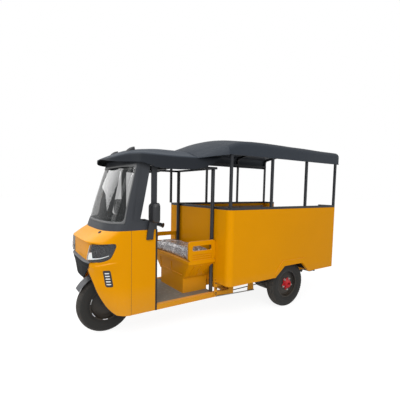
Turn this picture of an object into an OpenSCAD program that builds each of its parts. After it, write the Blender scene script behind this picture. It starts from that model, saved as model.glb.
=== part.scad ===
// Passenger electric tricycle: a moulded cab over one steered front wheel, and a
// steel box with two benches under a tarpaulin canopy over the driven rear axle.
// Frame: +X forward, +Y to the left, +Z up, origin on the ground below the middle.

/* [Running gear] */
// Distance between the front and rear axles
wheelbase = 2000; // [1800:10:2200]
// Front axle to the prow of the nose
front_overhang = 238; // [232:1:262]
// Rear axle to the canopy's rear hem
rear_overhang = 735; // [700:5:800]
// Outside radius of the tyres
tyre_r = 265; // [255:1:270]
// Width of the tyres
tyre_w = 108; // [90:1:112]
// Radius of the tyre's bead seat on the rim
bead_r = 156; // [145:1:165]
// Rear wheel's middle plane from the centre line
track_half = 437; // [430:1:445]
// Tilt of the steering axis from upright, in degrees
rake = 21; // [17:0.5:24]
// Distance on the ground from the tyre's contact back to the steering axis
trail = 80; // [60:1:95]
// Radius of the steering stem
stem_r = 20; // [16:0.5:22]
// Radius of the front axle
front_axle_r = 10; // [8:0.5:12]
// Radius of the rear wheel spindles
spindle_r = 20; // [17:0.5:24]

/* [Cab] */
// Width of the cab
cab_w = 745; // [720:5:780]
// Height of the underside of the sills and nose
sill_z = 253; // [245:1:260]
// Height of the sill rails
sill_h = 48; // [40:1:55]
// Width of the sill rails
sill_w = 40; // [30:1:45]
// Height of the black band at the windscreen's foot
belt_z = 985; // [970:5:1000]
// Depth of the band along the cab's sides
belt_h = 78; // [60:1:90]
// Thickness of the nose moulding
nose_t = 6; // [4:0.5:8]
// Thickness of the cab's side panels
panel_t = 18; // [14:1:20]
// Front axle back to the seam between the nose and the side panels
seam_set = 110; // [100:5:125]
// Length of the flat side panels behind the seam
side_panel_len = 240; // [220:5:260]
// Width of the door post along the cab
door_post_w = 50; // [40:1:55]
// Height of the top edge of the windscreen surround
screen_top_z = 1585; // [1575:1:1590]
// Thickness of the windscreen surround
surround_t = 14; // [10:1:18]
// Thickness of the windscreen glass
glass_t = 5; // [4:0.5:6]
// Thickness of the cab's roof moulding
roof_t = 6; // [4:0.5:8]
// Rise of the roof's crown over the windscreen surround
roof_rise = 144; // [130:1:155]
// Front edge of the roof's visor ahead of the seam
visor_reach = 148; // [130:2:160]

/* [Driver seat] */
// Width of the plinth
plinth_w = 460; // [420:5:480]
// Height of the plinth's top edge
plinth_z = 456; // [440:2:470]
// Height of the pan's rim
pan_z = 648; // [630:2:660]
// Width over the arm frames
seat_w = 740; // [700:5:740]
// Depth of the pan at its rim
seat_d = 320; // [306:2:326]
// Height of the arm frames
arm_z = 842; // [820:2:860]

/* [Passenger box] */
// Width of the box
box_w = 1150; // [1140:5:1180]
// Underside of the box
box_z = 407; // [400:1:415]
// Top face of the rail round the box
rail_z = 1172; // [1150:2:1190]
// Height of the rail's tube
rail_h = 25; // [20:1:30]
// Thickness of the box walls
wall_t = 25; // [20:1:28]
// Thickness of the floor
floor_t = 20; // [14:1:24]
// Radius of the box's front corners
corner_r = 60; // [40:2:70]
// Distance between canopy posts
post_pitch = 557; // [540:1:560]
// Width of a canopy post
post_w = 25; // [20:1:28]
// Width of each rear return beside the doorway
return_w = 180; // [160:5:210]

/* [Canopy] */
// Height of the valance's lower hem
hem_z = 1668; // [1650:2:1690]
// Rise of the canopy's crown over the hem
tarp_rise = 201; // [190:1:210]
// Thickness of the tarpaulin
tarp_t = 5; // [4:0.5:6]
// Radius of the canopy's shoulders
shoulder_r = 60; // [45:1:70]
// Depth of the bows and side tubes that carry the tarpaulin
bow_h = 22; // [18:1:25]

/* [Hidden] */
$fn = 64;

// Paints, as the vehicle shows them
YELLOW = "#dd9405";
BLACK = "#202124";
SLATE = "#2d343e";
GREY = "#7d7873";
BROWN = "#5a4334";
RED = "#a83237";
WHITE = "#f2f2ee";

// Running gap between moving pieces' shafts and bores, and seats of fixed pieces
shaft_gap = 0.05;
seat_gap = 0.3;

// The front tyre, or the nose where it reaches further, ends the vehicle in front
front_reach = max(front_overhang, tyre_r);
half_len = (wheelbase + front_reach + rear_overhang) / 2;
front_x = half_len - front_reach;
rear_x = front_x - wheelbase;
seam_x = front_x - seam_set;
door_x = seam_x - side_panel_len;
cab_hw = cab_w / 2;
box_hw = box_w / 2;

// Box ends, and the canopy posts' middles from front to rear
hem_overhang = 25;
box_rear = hem_overhang - half_len;
post_count = 4;
post_x = [for (i = [post_count - 1 : -1 : 0]) box_rear + post_w / 2 + i * post_pitch];
box_front = post_x[0] + post_w / 2;
box_floor_z = box_z + floor_t;
wall_top_z = rail_z - rail_h;

// Steering axis: the distance along it is counted from the point nearest the axle
axis_foot_x = front_x + trail - tyre_r * tan(rake);
axle_lead = front_x - axis_foot_x;
module on_steering_axis(along = 0) {
    translate([axis_foot_x, 0, tyre_r])
        rotate([0, -rake, 0])
        translate([0, 0, along])
        children();
}

// Left and right copies of a piece made on the left
module both_sides() {
    children();
    mirror([0, 1, 0]) children();
}

// A bar between two points along its own axis
module rod(from, to, r) {
    d = to - from;
    translate(from)
        rotate([0, acos(d[2] / norm(d)), atan2(d[1], d[0])])
        cylinder(r = r, h = norm(d));
}

// A plate drawn as a side view (x, z) and standing across y from y0 to y1
module side_plate(y0, y1) {
    translate([0, y1, 0])
        rotate([90, 0, 0])
        linear_extrude(y1 - y0)
        children();
}

// A closed skin between two grids of points, rows of the outer face and of the inner face,
// with one window left open: first row, last row, first column, last column
module skin(outer, inner, window = [0, 0, 0, 0]) {
    m = len(outer);
    n = len(outer[0]);
    function o(i, j) = i * n + j;
    function k(i, j) = m * n + i * n + j;
    function open(i, j) =
        i >= window[0] && i < window[1] && j >= window[2] && j < window[3];
    function foot(i, j) = [o(i, j), o(i, j + 1), k(i, j + 1), k(i, j)];
    function head(i, j) = [o(i, j), k(i, j), k(i, j + 1), o(i, j + 1)];
    function start(i, j) = [o(i, j), k(i, j), k(i + 1, j), o(i + 1, j)];
    function finish(i, j) = [o(i, j), o(i + 1, j), k(i + 1, j), k(i, j)];
    pts = [for (row = outer) each row, for (row = inner) each row];
    faces = [
        for (i = [0 : m - 2], j = [0 : n - 2]) if (!open(i, j)) each [
            [o(i, j), o(i + 1, j + 1), o(i, j + 1)],
            [o(i, j), o(i + 1, j), o(i + 1, j + 1)],
            [k(i, j), k(i, j + 1), k(i + 1, j + 1)],
            [k(i, j), k(i + 1, j + 1), k(i + 1, j)]
        ],
        for (i = [0 : m - 2]) each [start(i, 0), finish(i, n - 1)],
        for (j = [0 : n - 2]) each [foot(0, j), head(m - 1, j)],
        for (i = [window[0] : 1 : window[1] - 1]) each [finish(i, window[2]), start(i, window[3])],
        for (j = [window[2] : 1 : window[3] - 1]) each [head(window[0], j), foot(window[1], j)]
    ];
    polyhedron(pts, faces, convexity = 8);
}

// Front of the cab, as a superellipse in plan at each height:
// share of the height, share of the reach, exponent of the corner
PROW = [
    [0, 0.469, 2.0],
    [0.20, 0.677, 2.0],
    [0.39, 0.840, 2.3],
    [0.53, 0.858, 3.0],
    [0.60, 0.860, 3.7],
    [0.645, 0.860, 4.4],
    [0.76, 0.860, 5.0],
    [0.85, 0.860, 5.0],
    [0.882, 0.853, 5.0],
    [0.91, 0.800, 4.4],
    [0.95, 0.710, 3.8],
    [1, 0.563, 3.2]
];

// Places on the nose in shares: forward from the seam, up from the sill to the belt
nose_reach = (front_overhang + seam_set) / max([for (row = PROW) row[1]]);
nose_h = belt_z - sill_z;
function nose_at(u, v) = [seam_x + u * nose_reach, sill_z + v * nose_h];
function column(table, at, c) = lookup(at, [for (row = table) [row[0], row[c]]]);

// Point on the prow at height share v: side from -1 (right seam) to 1 (left seam), in by some depth
function prow_point(v, side, depth) =
    let (
        t = 90 * abs(side),
        n = column(PROW, v, 2),
        reach = column(PROW, v, 1) * nose_reach - depth
    )
    [
        seam_x + reach * pow(max(cos(t), 0), 2 / n),
        sign(side) * (cab_hw - depth) * pow(sin(t), 2 / n),
        sill_z + v * nose_h
    ];
prow_steps = 24;
function prow_row(v, depth) =
    [for (i = [0 : prow_steps]) prow_point(v, 2 * i / prow_steps - 1, depth)];
module prow_skin(outer, inner) {
    skin([for (row = PROW) prow_row(row[0], outer)], [for (row = PROW) prow_row(row[0], inner)]);
}

// Front wheel's opening in the nose, in side view: edge of the cheeks, foot to apron
CHEEK = [
    [0.235, -0.01], [0.314, 0.016], [0.425, 0.081], [0.551, 0.201], [0.647, 0.310],
    [0.721, 0.419], [0.790, 0.529], [0.807, 0.567], [0.798, 0.602], [1.1, 0.602], [1.1, -0.01]
];
apron_top_z = nose_at(0, CHEEK[8][1])[1];
module cheek_cut() {
    polygon([for (p = CHEEK) nose_at(p[0], p[1])]);
}

// Where the prow's outline at height share v reaches a place along, or a half width
function prow_side_at_x(v, x) =
    let (share = (x - seam_x) / (column(PROW, v, 1) * nose_reach))
    acos(pow(max(0, min(1, share)), column(PROW, v, 2) / 2)) / 90;
function prow_side_at_y(v, y) = asin(pow(y / cab_hw, column(PROW, v, 2) / 2)) / 90;

// A patch of the prow's left half between two depths, from rows of height share, front x, rear x
patch_steps = 10;
function patch_row(row, depth) =
    let (front = prow_side_at_x(row[0], row[1]), rear = prow_side_at_x(row[0], row[2]))
    [for (k = [0 : patch_steps]) prow_point(row[0], front + (rear - front) * k / patch_steps, depth)];
module prow_patch(rows, outer, inner) {
    skin([for (r = rows) patch_row(r, outer)], [for (r = rows) patch_row(r, inner)]);
}
// The same rows let out by a gap all round
function let_out(rows, gap) = [
    for (i = [0 : len(rows) - 1])
        let (up = i == 0 ? -1 : i == len(rows) - 1 ? 1 : 0)
        [rows[i][0] + up * gap / nose_h, rows[i][1] + gap, rows[i][2] - gap]
];

// Headlamp, wrapping from beside the centre panel round to the cheek:
// height share, half width at its inner edge, rear end as a share of the reach
LAMP = [
    [0.653, 250, 0.66],
    [0.660, 215, 0.60],
    [0.675, 203, 0.515],
    [0.700, 200, 0.44],
    [0.748, 200, 0.389],
    [0.797, 202, 0.347],
    [0.840, 205, 0.324],
    [0.862, 208, 0.338],
    [0.872, 225, 0.39]
];
lamp_rows = [
    for (p = LAMP)
        [p[0], prow_point(p[0], prow_side_at_y(p[0], p[1]), 0)[0], nose_at(p[2], 0)[0]]
];
lamp_proud = 3;
lamp_depth = 40;

// Marker lamp plate on the cheek, leaning forward: foot share along and up, width, height, lean
marker_foot = [0.363, 0.362];
marker_w = 44;
marker_h = 150;
marker_lean = 32;
marker_corner = 8;
function marker_row(up, inset) =
    let (rear = nose_at(marker_foot[0], 0)[0] + marker_lean * up / marker_h)
    [marker_foot[1] + up / nose_h, rear + marker_w - inset, rear + inset];
marker_steps = 12;
marker_rows = [
    marker_row(0, marker_corner),
    for (k = [0 : marker_steps])
        marker_row(marker_corner + (marker_h - 2 * marker_corner) * k / marker_steps, 0),
    marker_row(marker_h, marker_corner)
];
marker_proud = 2;

// Nose moulding with the openings for wheel, lamps and marker plates
module nose_shell() {
    color(YELLOW)
        difference() {
            prow_skin(0, nose_t);
            side_plate(-cab_hw - 1, cab_hw + 1) cheek_cut();
            for (rows = [lamp_rows, marker_rows])
                both_sides() prow_patch(let_out(rows, seat_gap), -nose_t, 2 * nose_t);
        }
}

// Dark apron under the prow, narrowing to its foot below a proud trim lip:
// height share, half width, how far the face stands proud
APRON = [
    [0.426, 105, 0],
    [0.53, 161, 0],
    [0.572, 184, 0],
    [0.578, 187, 5],
    [0.601, 199, 5]
];
apron_t = 12;
apron_steps = 16;
function apron_row(row, depth) =
    let (reach = prow_side_at_y(row[0], row[1]))
    [for (k = [0 : apron_steps]) prow_point(row[0], reach * (2 * k / apron_steps - 1), depth)];
module nose_apron() {
    color(BLACK)
        skin([for (r = APRON) apron_row(r, -r[2])], [for (r = APRON) apron_row(r, apron_t)]);
}

module headlamps() {
    color(BLACK)
        both_sides() prow_patch(lamp_rows, -lamp_proud, lamp_depth);
}

// White light guide, an L along the lamp's inner and lower edges:
// share of the way from the centre round to the seam, lower and upper edge as height shares
GUIDE = [
    [0.17, 0.688, 0.775],
    [0.27, 0.686, 0.777],
    [0.285, 0.686, 0.712],
    [0.45, 0.688, 0.712],
    [0.62, 0.697, 0.717],
    [0.75, 0.711, 0.727],
    [0.86, 0.730, 0.740]
];
guide_steps = 4;
guide_gap = 1.2;
bar_gap = 0.8;
guide_t = 3;
function guide_row(edge, depth) = [
    for (i = [1 : len(GUIDE) - 1])
        for (k = [i == 1 ? 0 : 1 : guide_steps])
            let (p = GUIDE[i - 1] + (GUIDE[i] - GUIDE[i - 1]) * k / guide_steps)
            prow_point(p[edge], p[0], depth)
];
// Five white bars up the marker plate
bar_count = 5;
bar_w = 26;
bar_h = 13;
bar_pitch = 27.5;
module light_bars() {
    guide_in = -lamp_proud - guide_gap;
    bar_in = -marker_proud - bar_gap;
    color(WHITE)
        both_sides() {
            skin([for (e = [1, 2]) guide_row(e, guide_in - guide_t)],
                 [for (e = [1, 2]) guide_row(e, guide_in)]);
            for (i = [0 : bar_count - 1]) {
                foot = marker_h / 2 + (i - bar_count / 2) * bar_pitch + (bar_pitch - bar_h) / 2;
                inset = (marker_w - bar_w) / 2;
                prow_patch([for (up = [foot, foot + bar_h]) marker_row(up, inset)], bar_in - guide_t, bar_in);
            }
        }
}
module marker_plates() {
    color(BLACK)
        both_sides() prow_patch(marker_rows, -marker_proud, 2 * nose_t);
}

// Flat side panels behind the nose seam
module cab_side_panels() {
    color(YELLOW)
        both_sides()
        translate([door_x, cab_hw - panel_t, sill_z])
        cube([seam_x - door_x, panel_t, belt_z - sill_z]);
}

// Windscreen surround, in plan at each height; places along are shares of the nose's reach:
// height, rear edge of the pillar, crease where the side turns, prow, exponent
screen_h = screen_top_z - belt_z;
band_top_z = belt_z + belt_h;
pillar_foot_h = 24;
band_step = 0.5;
SCREEN = [
    [belt_z, -side_panel_len / nose_reach, 0, PROW[len(PROW) - 1][1], 3.2],
    [band_top_z, -side_panel_len / nose_reach, -0.02, 0.499, 3.1],
    [band_top_z + band_step, -0.272, -0.02, 0.499, 3.1],
    [band_top_z + pillar_foot_h, -0.207, -0.027, 0.482, 3.1],
    [belt_z + 0.29 * screen_h, -0.247, -0.044, 0.432, 3.0],
    [belt_z + 0.66 * screen_h, -0.356, -0.133, 0.252, 2.8],
    [screen_top_z, -0.449, -0.212, 0.069, 2.6]
];
pillar_share = 0.16;
function screen_point(z, side, depth) =
    let (
        a = abs(side),
        n = column(SCREEN, z, 4),
        crease = seam_x + nose_reach * column(SCREEN, z, 2),
        rear = seam_x + nose_reach * column(SCREEN, z, 1),
        reach = seam_x + nose_reach * column(SCREEN, z, 3) - depth - crease,
        on_front = a <= 1 - pillar_share,
        t = on_front ? 90 * a / (1 - pillar_share) : 90,
        back = on_front ? 0 : (a - 1 + pillar_share) / pillar_share
    )
    [
        crease + reach * pow(max(cos(t), 0), 2 / n) - back * (crease - rear),
        sign(side) * (cab_hw - depth) * pow(sin(t), 2 / n),
        z
    ];
glass_reach = 0.76;
glass_steps = 24;
glass_foot_z = belt_z + 58;
glass_top_z = screen_top_z - 42;
function screen_row(z, sides, depth) = [for (s = sides) screen_point(z, s, depth)];
function across(reach) = [for (i = [0 : glass_steps]) reach * (2 * i / glass_steps - 1)];
screen_sides = concat([-1, -0.92], across(glass_reach), [0.92, 1]);
screen_heights = [
    belt_z, glass_foot_z,
    for (i = [1 : 5]) SCREEN[i][0],
    belt_z + 0.81 * screen_h, glass_top_z, screen_top_z
];

module windscreen_surround() {
    last = len(screen_heights) - 1;
    color(SLATE)
        skin(
            [for (z = screen_heights) screen_row(z, screen_sides, 0)],
            [for (z = screen_heights) screen_row(z, screen_sides, surround_t)],
            [1, last - 1, 2, 2 + glass_steps]
        );
}
module windscreen_glass() {
    edge = 0.001;
    sides = across(glass_reach - edge);
    heights = [
        glass_foot_z + seat_gap, for (z = screen_heights) if (z > glass_foot_z && z < glass_top_z) z,
        glass_top_z - seat_gap
    ];
    color("#6d7677", 0.45)
        skin(
            [for (z = heights) screen_row(z, sides, 3)],
            [for (z = heights) screen_row(z, sides, 3 + glass_t)]
        );
}

// Instrument shelf behind the windscreen's foot
dash_z = belt_z + 45;
dash_t = 30;
dash_gap = 0.5;
dash_back = 60;
dial_lead = 40;
dial_r = 58;
dial_h = 26;
module dashboard() {
    front = screen_row(dash_z, across(glass_reach), surround_t + dash_gap);
    end_y = front[len(front) - 1][1];
    color(BLACK) {
        translate([0, 0, dash_z - dash_t])
            linear_extrude(dash_t)
            polygon([
                for (p = front) [p[0], p[1]],
                [seam_x - dash_back, end_y], [seam_x - dash_back, -end_y]
            ]);
        translate([seam_x + dial_lead, 0, dash_z])
            rotate([0, -28, 0])
            cylinder(r = dial_r, h = dial_h);
    }
}

// Square tubes that frame the cab's roof: side tubes on the door posts, cross tubes between
roof_frame_drop = 45;
roof_frame_z = screen_top_z - roof_frame_drop;
roof_tube = 22;
post_foot_z = band_top_z + band_step + seat_gap;
module door_posts() {
    color(BLACK)
        both_sides()
        translate([door_x + 2, cab_hw - roof_tube, post_foot_z])
        cube([door_post_w, roof_tube, roof_frame_z - post_foot_z]);
}
roof_frame_front = screen_point(roof_frame_z + roof_tube, 1, 0)[0] - seat_gap;
module cab_roof_frame() {
    roof_frame_mid = (partition_x + roof_frame_front) / 2;
    color(BLACK) {
        both_sides()
            translate([partition_x - partition_r, cab_hw - roof_tube, roof_frame_z])
            cube([roof_frame_front - partition_x + partition_r, roof_tube, roof_tube]);
        for (x = [partition_x - roof_tube / 2, roof_frame_mid, roof_frame_front - roof_tube])
            translate([x, -cab_hw + 1, roof_frame_z])
                cube([roof_tube, cab_w - 2, roof_tube]);
    }
}

// Cab roof, in shares of its length, of the cab's half width and of its rise over the surround:
// place along from the rear, half width, lower edge, shoulder, crown
roof_rear = box_front + 12;
roof_len = seam_x + visor_reach - roof_rear;
ROOF_SHARES = [
    [0, 1.144, 0.38, 0.53, 0.78],
    [0.108, 1.149, -0.08, 0.44, 0.90],
    [0.271, 1.149, -0.40, 0.40, 0.99],
    [0.483, 1.149, -0.49, 0.38, 1],
    [0.656, 1.138, -0.42, 0.40, 0.90],
    [0.790, 1.106, -0.17, 0.42, 0.73],
    [0.858, 1.009, -0.16, 0.38, 0.58],
    [0.925, 0.805, -0.15, 0.27, 0.40],
    [0.975, 0.537, -0.08, 0.15, 0.24],
    [1, 0.188, 0.02, 0.10, 0.15]
];
ROOF = [
    for (p = ROOF_SHARES) [
        roof_rear + p[0] * roof_len, p[1] * cab_hw,
        for (c = [2 : 4]) screen_top_z + p[c] * roof_rise
    ]
];
roof_edge_r = 22;
roof_crown_steps = 10;
// One roof section from the left hem over the crown to the right hem
function roof_row(row, depth) =
    let (
        hw = row[1] - depth,
        r = min(roof_edge_r, (row[3] - row[2]) / 2),
        arc = [for (a = [0 : 30 : 90]) [hw - r + r * cos(a), row[3] - depth - r + r * sin(a)]],
        flat = hw - r,
        left = concat(
            [[hw, row[2]]], arc,
            [for (i = [1 : roof_crown_steps / 2])
                let (y = flat * (1 - 2 * i / roof_crown_steps))
                [y, row[4] - depth - (row[4] - row[3]) * pow(y / flat, 2)]]
        ),
        n = len(left)
    )
    [
        for (p = left) [row[0], p[0], p[1]],
        for (i = [n - 2 : -1 : 0]) [row[0], -left[i][0], left[i][1]]
    ];
module roof_skin(outer, inner) {
    skin([for (row = ROOF) roof_row(row, outer)], [for (row = ROOF) roof_row(row, inner)]);
}
module roof_solid(depth) {
    rows = [for (row = ROOF) roof_row(row, depth)];
    skin(rows, [for (row = rows) [for (p = row) [p[0], p[1] * 0.98, roof_frame_z - 2 * roof_tube]]]);
}
pad_len = 40;
module cab_canopy() {
    color(SLATE) {
        roof_skin(0, roof_t);
        intersection() {
            roof_solid(roof_t / 2);
            both_sides()
                for (along = [0.08, 0.33, 0.56])
                    translate([roof_rear + along * roof_len, cab_hw - roof_tube, roof_frame_z + roof_tube])
                        cube([pad_len, roof_tube, roof_rise]);
        }
    }
}

// Two small marker lamps seated on top of the visor
roof_lamp = [seam_x - 35, 210, screen_top_z + 60];
module roof_lamps() {
    color(BLACK)
        difference() {
            both_sides()
                translate(roof_lamp)
                rotate([0, 18, 0])
                cylinder(r1 = 26, r2 = 14, h = 50);
            roof_solid(-seat_gap);
        }
}

// Door mirrors: a foot on the side panel's top corner, a broad arm and a tapered housing
mirror_set = 40;
mirror_w = 112;
mirror_h = 168;
mirror_depth = 58;
mirror_corner_r = 34;
mirror_lift = 68;
arm_w = 66;
mirror_foot_h = 92;
module mirrors() {
    head_y = cab_hw + mirror_w / 2 + 4;
    color(BLACK)
        both_sides()
        translate([door_x + mirror_set, 0, belt_z]) {
            hull() {
                translate([0, cab_hw, -mirror_foot_h])
                    cube([arm_w, 14, mirror_foot_h - 12]);
                translate([4, cab_hw + 6, mirror_lift])
                    cube([arm_w - 16, 42, 14]);
            }
            translate([0, head_y, mirror_lift + mirror_h / 2])
                rotate([90, 0, 90])
                linear_extrude(mirror_depth, scale = 0.82)
                offset(r = mirror_corner_r, $fn = 32) offset(delta = -mirror_corner_r)
                square([mirror_w, mirror_h], center = true);
        }
}

// Driver's bench: plinth on the floor, flared pan, arm frame at each end
partition_r = 19;
partition_x = box_front + partition_r + seat_gap;
seat_hw = seat_w / 2;
seat_set = 2;
seat_back = box_front + seat_set;
plinth_hw = plinth_w / 2;
plinth_front = seat_back + seat_d - 27;
sheet = 3;
floor_plate_t = 4;
floor_sink = 4;
cab_floor_z = sill_z + sill_h - floor_sink;
arm_t = 20;
post_play = 2;
partition_y = seat_hw - arm_t - 1.5 * post_play - partition_r;
arm_corner_r = 30;
arm_bar = 45;
slot_h = 52;
slot_corner_r = 14;
rim_h = 32;
rim_lip = 5;
pan_flare = 16;
press_depth = 5;
press_rim = 26;
rib_count = 3;
rib_w = 9;
// The pan's sloping faces, with z up the slope from the plinth's top edge
rim_foot_z = pan_z - rim_h;
front_slope = atan2(seat_back + seat_d - rim_lip - plinth_front, rim_foot_z - plinth_z);
front_face_h = norm([seat_back + seat_d - rim_lip - plinth_front, rim_foot_z - plinth_z]);
end_run = seat_hw - rim_lip - plinth_hw - pan_flare;
end_slope = atan2(end_run, rim_foot_z - plinth_z);
end_face_h = norm([end_run, rim_foot_z - plinth_z]);
module on_pan_front() {
    translate([plinth_front, 0, plinth_z])
        rotate([0, front_slope, 0])
        children();
}
module on_pan_end() {
    translate([seat_back, plinth_hw + pan_flare, plinth_z])
        rotate([-end_slope, 0, 0])
        children();
}
module arm_outline() {
    offset(r = arm_corner_r, $fn = 32) offset(delta = -arm_corner_r)
        translate([seat_back, pan_z])
        square([seat_d, arm_z - pan_z]);
}
// Seat pan: flared faces under a lip, two pressed panels in front, ribs at each end
module seat_pan() {
    panel_w = plinth_hw + pan_flare - 1.5 * press_rim;
    difference() {
        hull() {
            translate([seat_back, -plinth_hw - pan_flare, plinth_z])
                cube([plinth_front - seat_back, 2 * (plinth_hw + pan_flare), 1]);
            translate([seat_back, -seat_hw + rim_lip, rim_foot_z])
                cube([seat_d - rim_lip, seat_w - 2 * rim_lip, 1]);
        }
        both_sides()
            on_pan_front()
            translate([-press_depth, press_rim / 2, press_rim])
            cube([2 * press_depth, panel_w, front_face_h - 2 * press_rim]);
    }
    translate([seat_back, -seat_hw, rim_foot_z])
        cube([seat_d, seat_w, rim_h]);
    both_sides()
        on_pan_end()
        for (i = [1 : rib_count])
            translate([i * seat_d / (rib_count + 1) - rib_w, -press_depth, press_rim])
                cube([rib_w, 2 * press_depth, end_face_h - 2 * press_rim]);
}
module seat_base() {
    color(YELLOW) {
        difference() {
            translate([seat_back, -plinth_hw, cab_floor_z])
                cube([plinth_front - seat_back, plinth_w, plinth_z - cab_floor_z]);
            translate([seat_back + sheet, -plinth_hw + sheet, cab_floor_z - 1])
                cube([plinth_front - seat_back - 2 * sheet, plinth_w - 2 * sheet,
                      plinth_z - cab_floor_z - sheet]);
        }
        difference() {
            seat_pan();
            both_sides()
                translate([partition_x, partition_y, cab_floor_z])
                cylinder(r = partition_r + post_play, h = arm_z - cab_floor_z);
        }
        both_sides()
            difference() {
                side_plate(seat_hw - arm_t, seat_hw) arm_outline();
                side_plate(seat_hw - arm_t - 1, seat_hw + 1)
                    offset(r = slot_corner_r, $fn = 32) offset(delta = -slot_corner_r)
                    translate([seat_back + arm_bar, arm_z - arm_bar - slot_h])
                    square([seat_d - 2 * arm_bar, slot_h]);
                for (i = [0 : rib_count - 1])
                    side_plate(seat_hw - press_depth, seat_hw + 1)
                        translate([seat_back + arm_bar, pan_z + rib_w + i * 2.4 * rib_w])
                        square([seat_d - 2 * arm_bar, 1.3 * rib_w]);
            }
    }
}
seat_cushion_h = 72;
seat_side_gap = 3;
cushion_back = partition_x + partition_r + 2 * post_play;
battery_gap = 20;
module seat_cushion() {
    color(BROWN)
        translate([cushion_back, -seat_hw + arm_t + seat_side_gap, pan_z + seat_gap])
        cube([seat_back + seat_d - 2 - cushion_back, seat_w - 2 * (arm_t + seat_side_gap), seat_cushion_h]);
}
module battery_block() {
    color(BLACK)
        translate([seat_back + battery_gap, -plinth_hw + battery_gap, cab_floor_z])
        cube([plinth_front - seat_back - 2 * battery_gap, plinth_w - 2 * battery_gap,
              plinth_z - cab_floor_z - 30]);
}

// Cab floor sheet between the sills, notched round the steering head's stays
wheel_room = 25;
stay_notch = 64;
module cab_floor() {
    floor_front = front_x - tyre_r - wheel_room;
    color(GREY)
        difference() {
            translate([box_front + seat_gap, -cab_hw + sill_w, cab_floor_z - floor_plate_t])
                cube([floor_front - box_front, cab_w - 2 * sill_w, floor_plate_t]);
            both_sides()
                translate([tie_x + 7, stay_y - 5, cab_floor_z])
                cube([stay_notch, stay_notch, 3 * floor_plate_t], center = true);
        }
}

// Ladder frame: box rails, cab sills and cross tubes, with the steering head
frame_w = 40;
frame_h = 60;
frame_tyre_gap = 33;
frame_half = track_half - tyre_w / 2 - frame_tyre_gap - frame_w / 2;
cross_w = 50;
sill_overlap = 250;
head_low = 350;
head_len = 210;
head_r = 34;
stay_r = 22;
stay_y = 150;
tie_x = front_x - 390;
tube_h = cab_floor_z - floor_plate_t - sill_z;
// Two stays from the front cross tube up to the steering head
module head_stays() {
    head_mid = head_low + head_len / 2;
    head = [axis_foot_x - head_mid * sin(rake), 0, tyre_r + head_mid * cos(rake)];
    both_sides()
        rod([tie_x, stay_y, sill_z + tube_h - 12], head, stay_r);
}
// The upright between a sill and the rail above it is as wide as both
link_in = min(frame_half - frame_w / 2, cab_hw - sill_w);
link_out = max(frame_half + frame_w / 2, cab_hw);
module chassis_frame() {
    color(YELLOW)
        difference() {
            union() {
                both_sides() {
                    translate([box_rear + 10, frame_half - frame_w / 2, box_z - frame_h])
                        cube([box_front - box_rear - 10, frame_w, frame_h]);
                    translate([box_front - sill_overlap, cab_hw - sill_w, sill_z])
                        cube([door_x - box_front + sill_overlap, sill_w, sill_h]);
                    translate([box_front - sill_overlap, link_in, sill_z + sill_h])
                        cube([1.2 * cross_w, link_out - link_in, box_z - frame_h - sill_z - sill_h]);
                }
                for (x = [box_rear + 10, rear_x - 320, rear_x + 350, post_x[0] - 254, box_front - 60])
                    translate([x, -frame_half, box_z - frame_h])
                        cube([cross_w, 2 * frame_half, frame_h]);
                for (x = [box_front - sill_overlap, for (k = [0.15, 0.6]) box_front + k * (tie_x - box_front),
                          tie_x - cross_w / 2])
                    translate([x, -cab_hw + sill_w / 2, sill_z])
                        cube([cross_w, cab_w - sill_w, tube_h]);
                on_steering_axis(head_low) cylinder(r = head_r, h = head_len);
                head_stays();
                translate([box_front - sill_overlap, -cross_w / 2, sill_z])
                    cube([tie_x - box_front + sill_overlap, cross_w, tube_h]);
            }
            on_steering_axis(head_low - 1)
                cylinder(r = stem_r + shaft_gap, h = head_len + 2);
        }
}

// Flat front wall with rounded corners turning into the sides
module partition_posts() {
    color(BLACK)
        both_sides()
        translate([partition_x, partition_y, sill_z + sill_h])
        cylinder(r = partition_r, h = roof_frame_z - sill_z - sill_h);
}
module front_wall() {
    color(YELLOW)
        translate([box_front - wall_t, -box_hw + corner_r, box_z])
        cube([wall_t, box_w - 2 * corner_r, wall_top_z - box_z]);
}

// Side walls with the wheel arch cut from the lower edge; the front corner is rounded
arch_top_z = 520;
arch_lip = 5;
// Corners of the arch and of the pressed flange round it, in side view from rear to front:
// share of the tyre's radius along, share of the arch's height
ARCH = [[-0.92, 0], [-0.453, 1], [0.687, 1], [1.245, 0]];
FLANGE = [[-1.12, 0], [-1.08, 0.4], [-0.56, 1.5], [0.81, 1.53], [1.24, 0.42], [1.245, 0]];
module arch_outline(corners) {
    polygon([for (p = corners) [rear_x + p[0] * tyre_r, box_z + p[1] * (arch_top_z - box_z)]]);
}
module arch_cut() {
    arch_outline(ARCH);
    translate([rear_x + ARCH[0][0] * tyre_r, box_z - 1])
        square([(ARCH[3][0] - ARCH[0][0]) * tyre_r, 1.01]);
}
module box_side() {
    color(YELLOW) {
        difference() {
            side_plate(box_hw - wall_t, box_hw)
                translate([box_rear, box_z])
                square([box_front - corner_r - box_rear, wall_top_z - box_z]);
            side_plate(box_hw - wall_t - 1, box_hw + 1) arch_cut();
        }
        side_plate(box_hw, box_hw + arch_lip)
            difference() {
                arch_outline(FLANGE);
                arch_cut();
            }
        translate([box_front - corner_r, box_hw - corner_r, box_z])
            rotate_extrude(angle = 90)
            translate([corner_r - wall_t, 0])
            square([wall_t, wall_top_z - box_z]);
    }
}
module box_side_left() { box_side(); }
module box_side_right() { mirror([0, 1, 0]) box_side(); }

doorway_w = box_w - 2 * (wall_t + return_w);
module rear_returns() {
    color(YELLOW)
        both_sides()
        translate([box_rear, doorway_w / 2, box_floor_z])
        cube([wall_t, return_w, wall_top_z - box_floor_z]);
}

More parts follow.
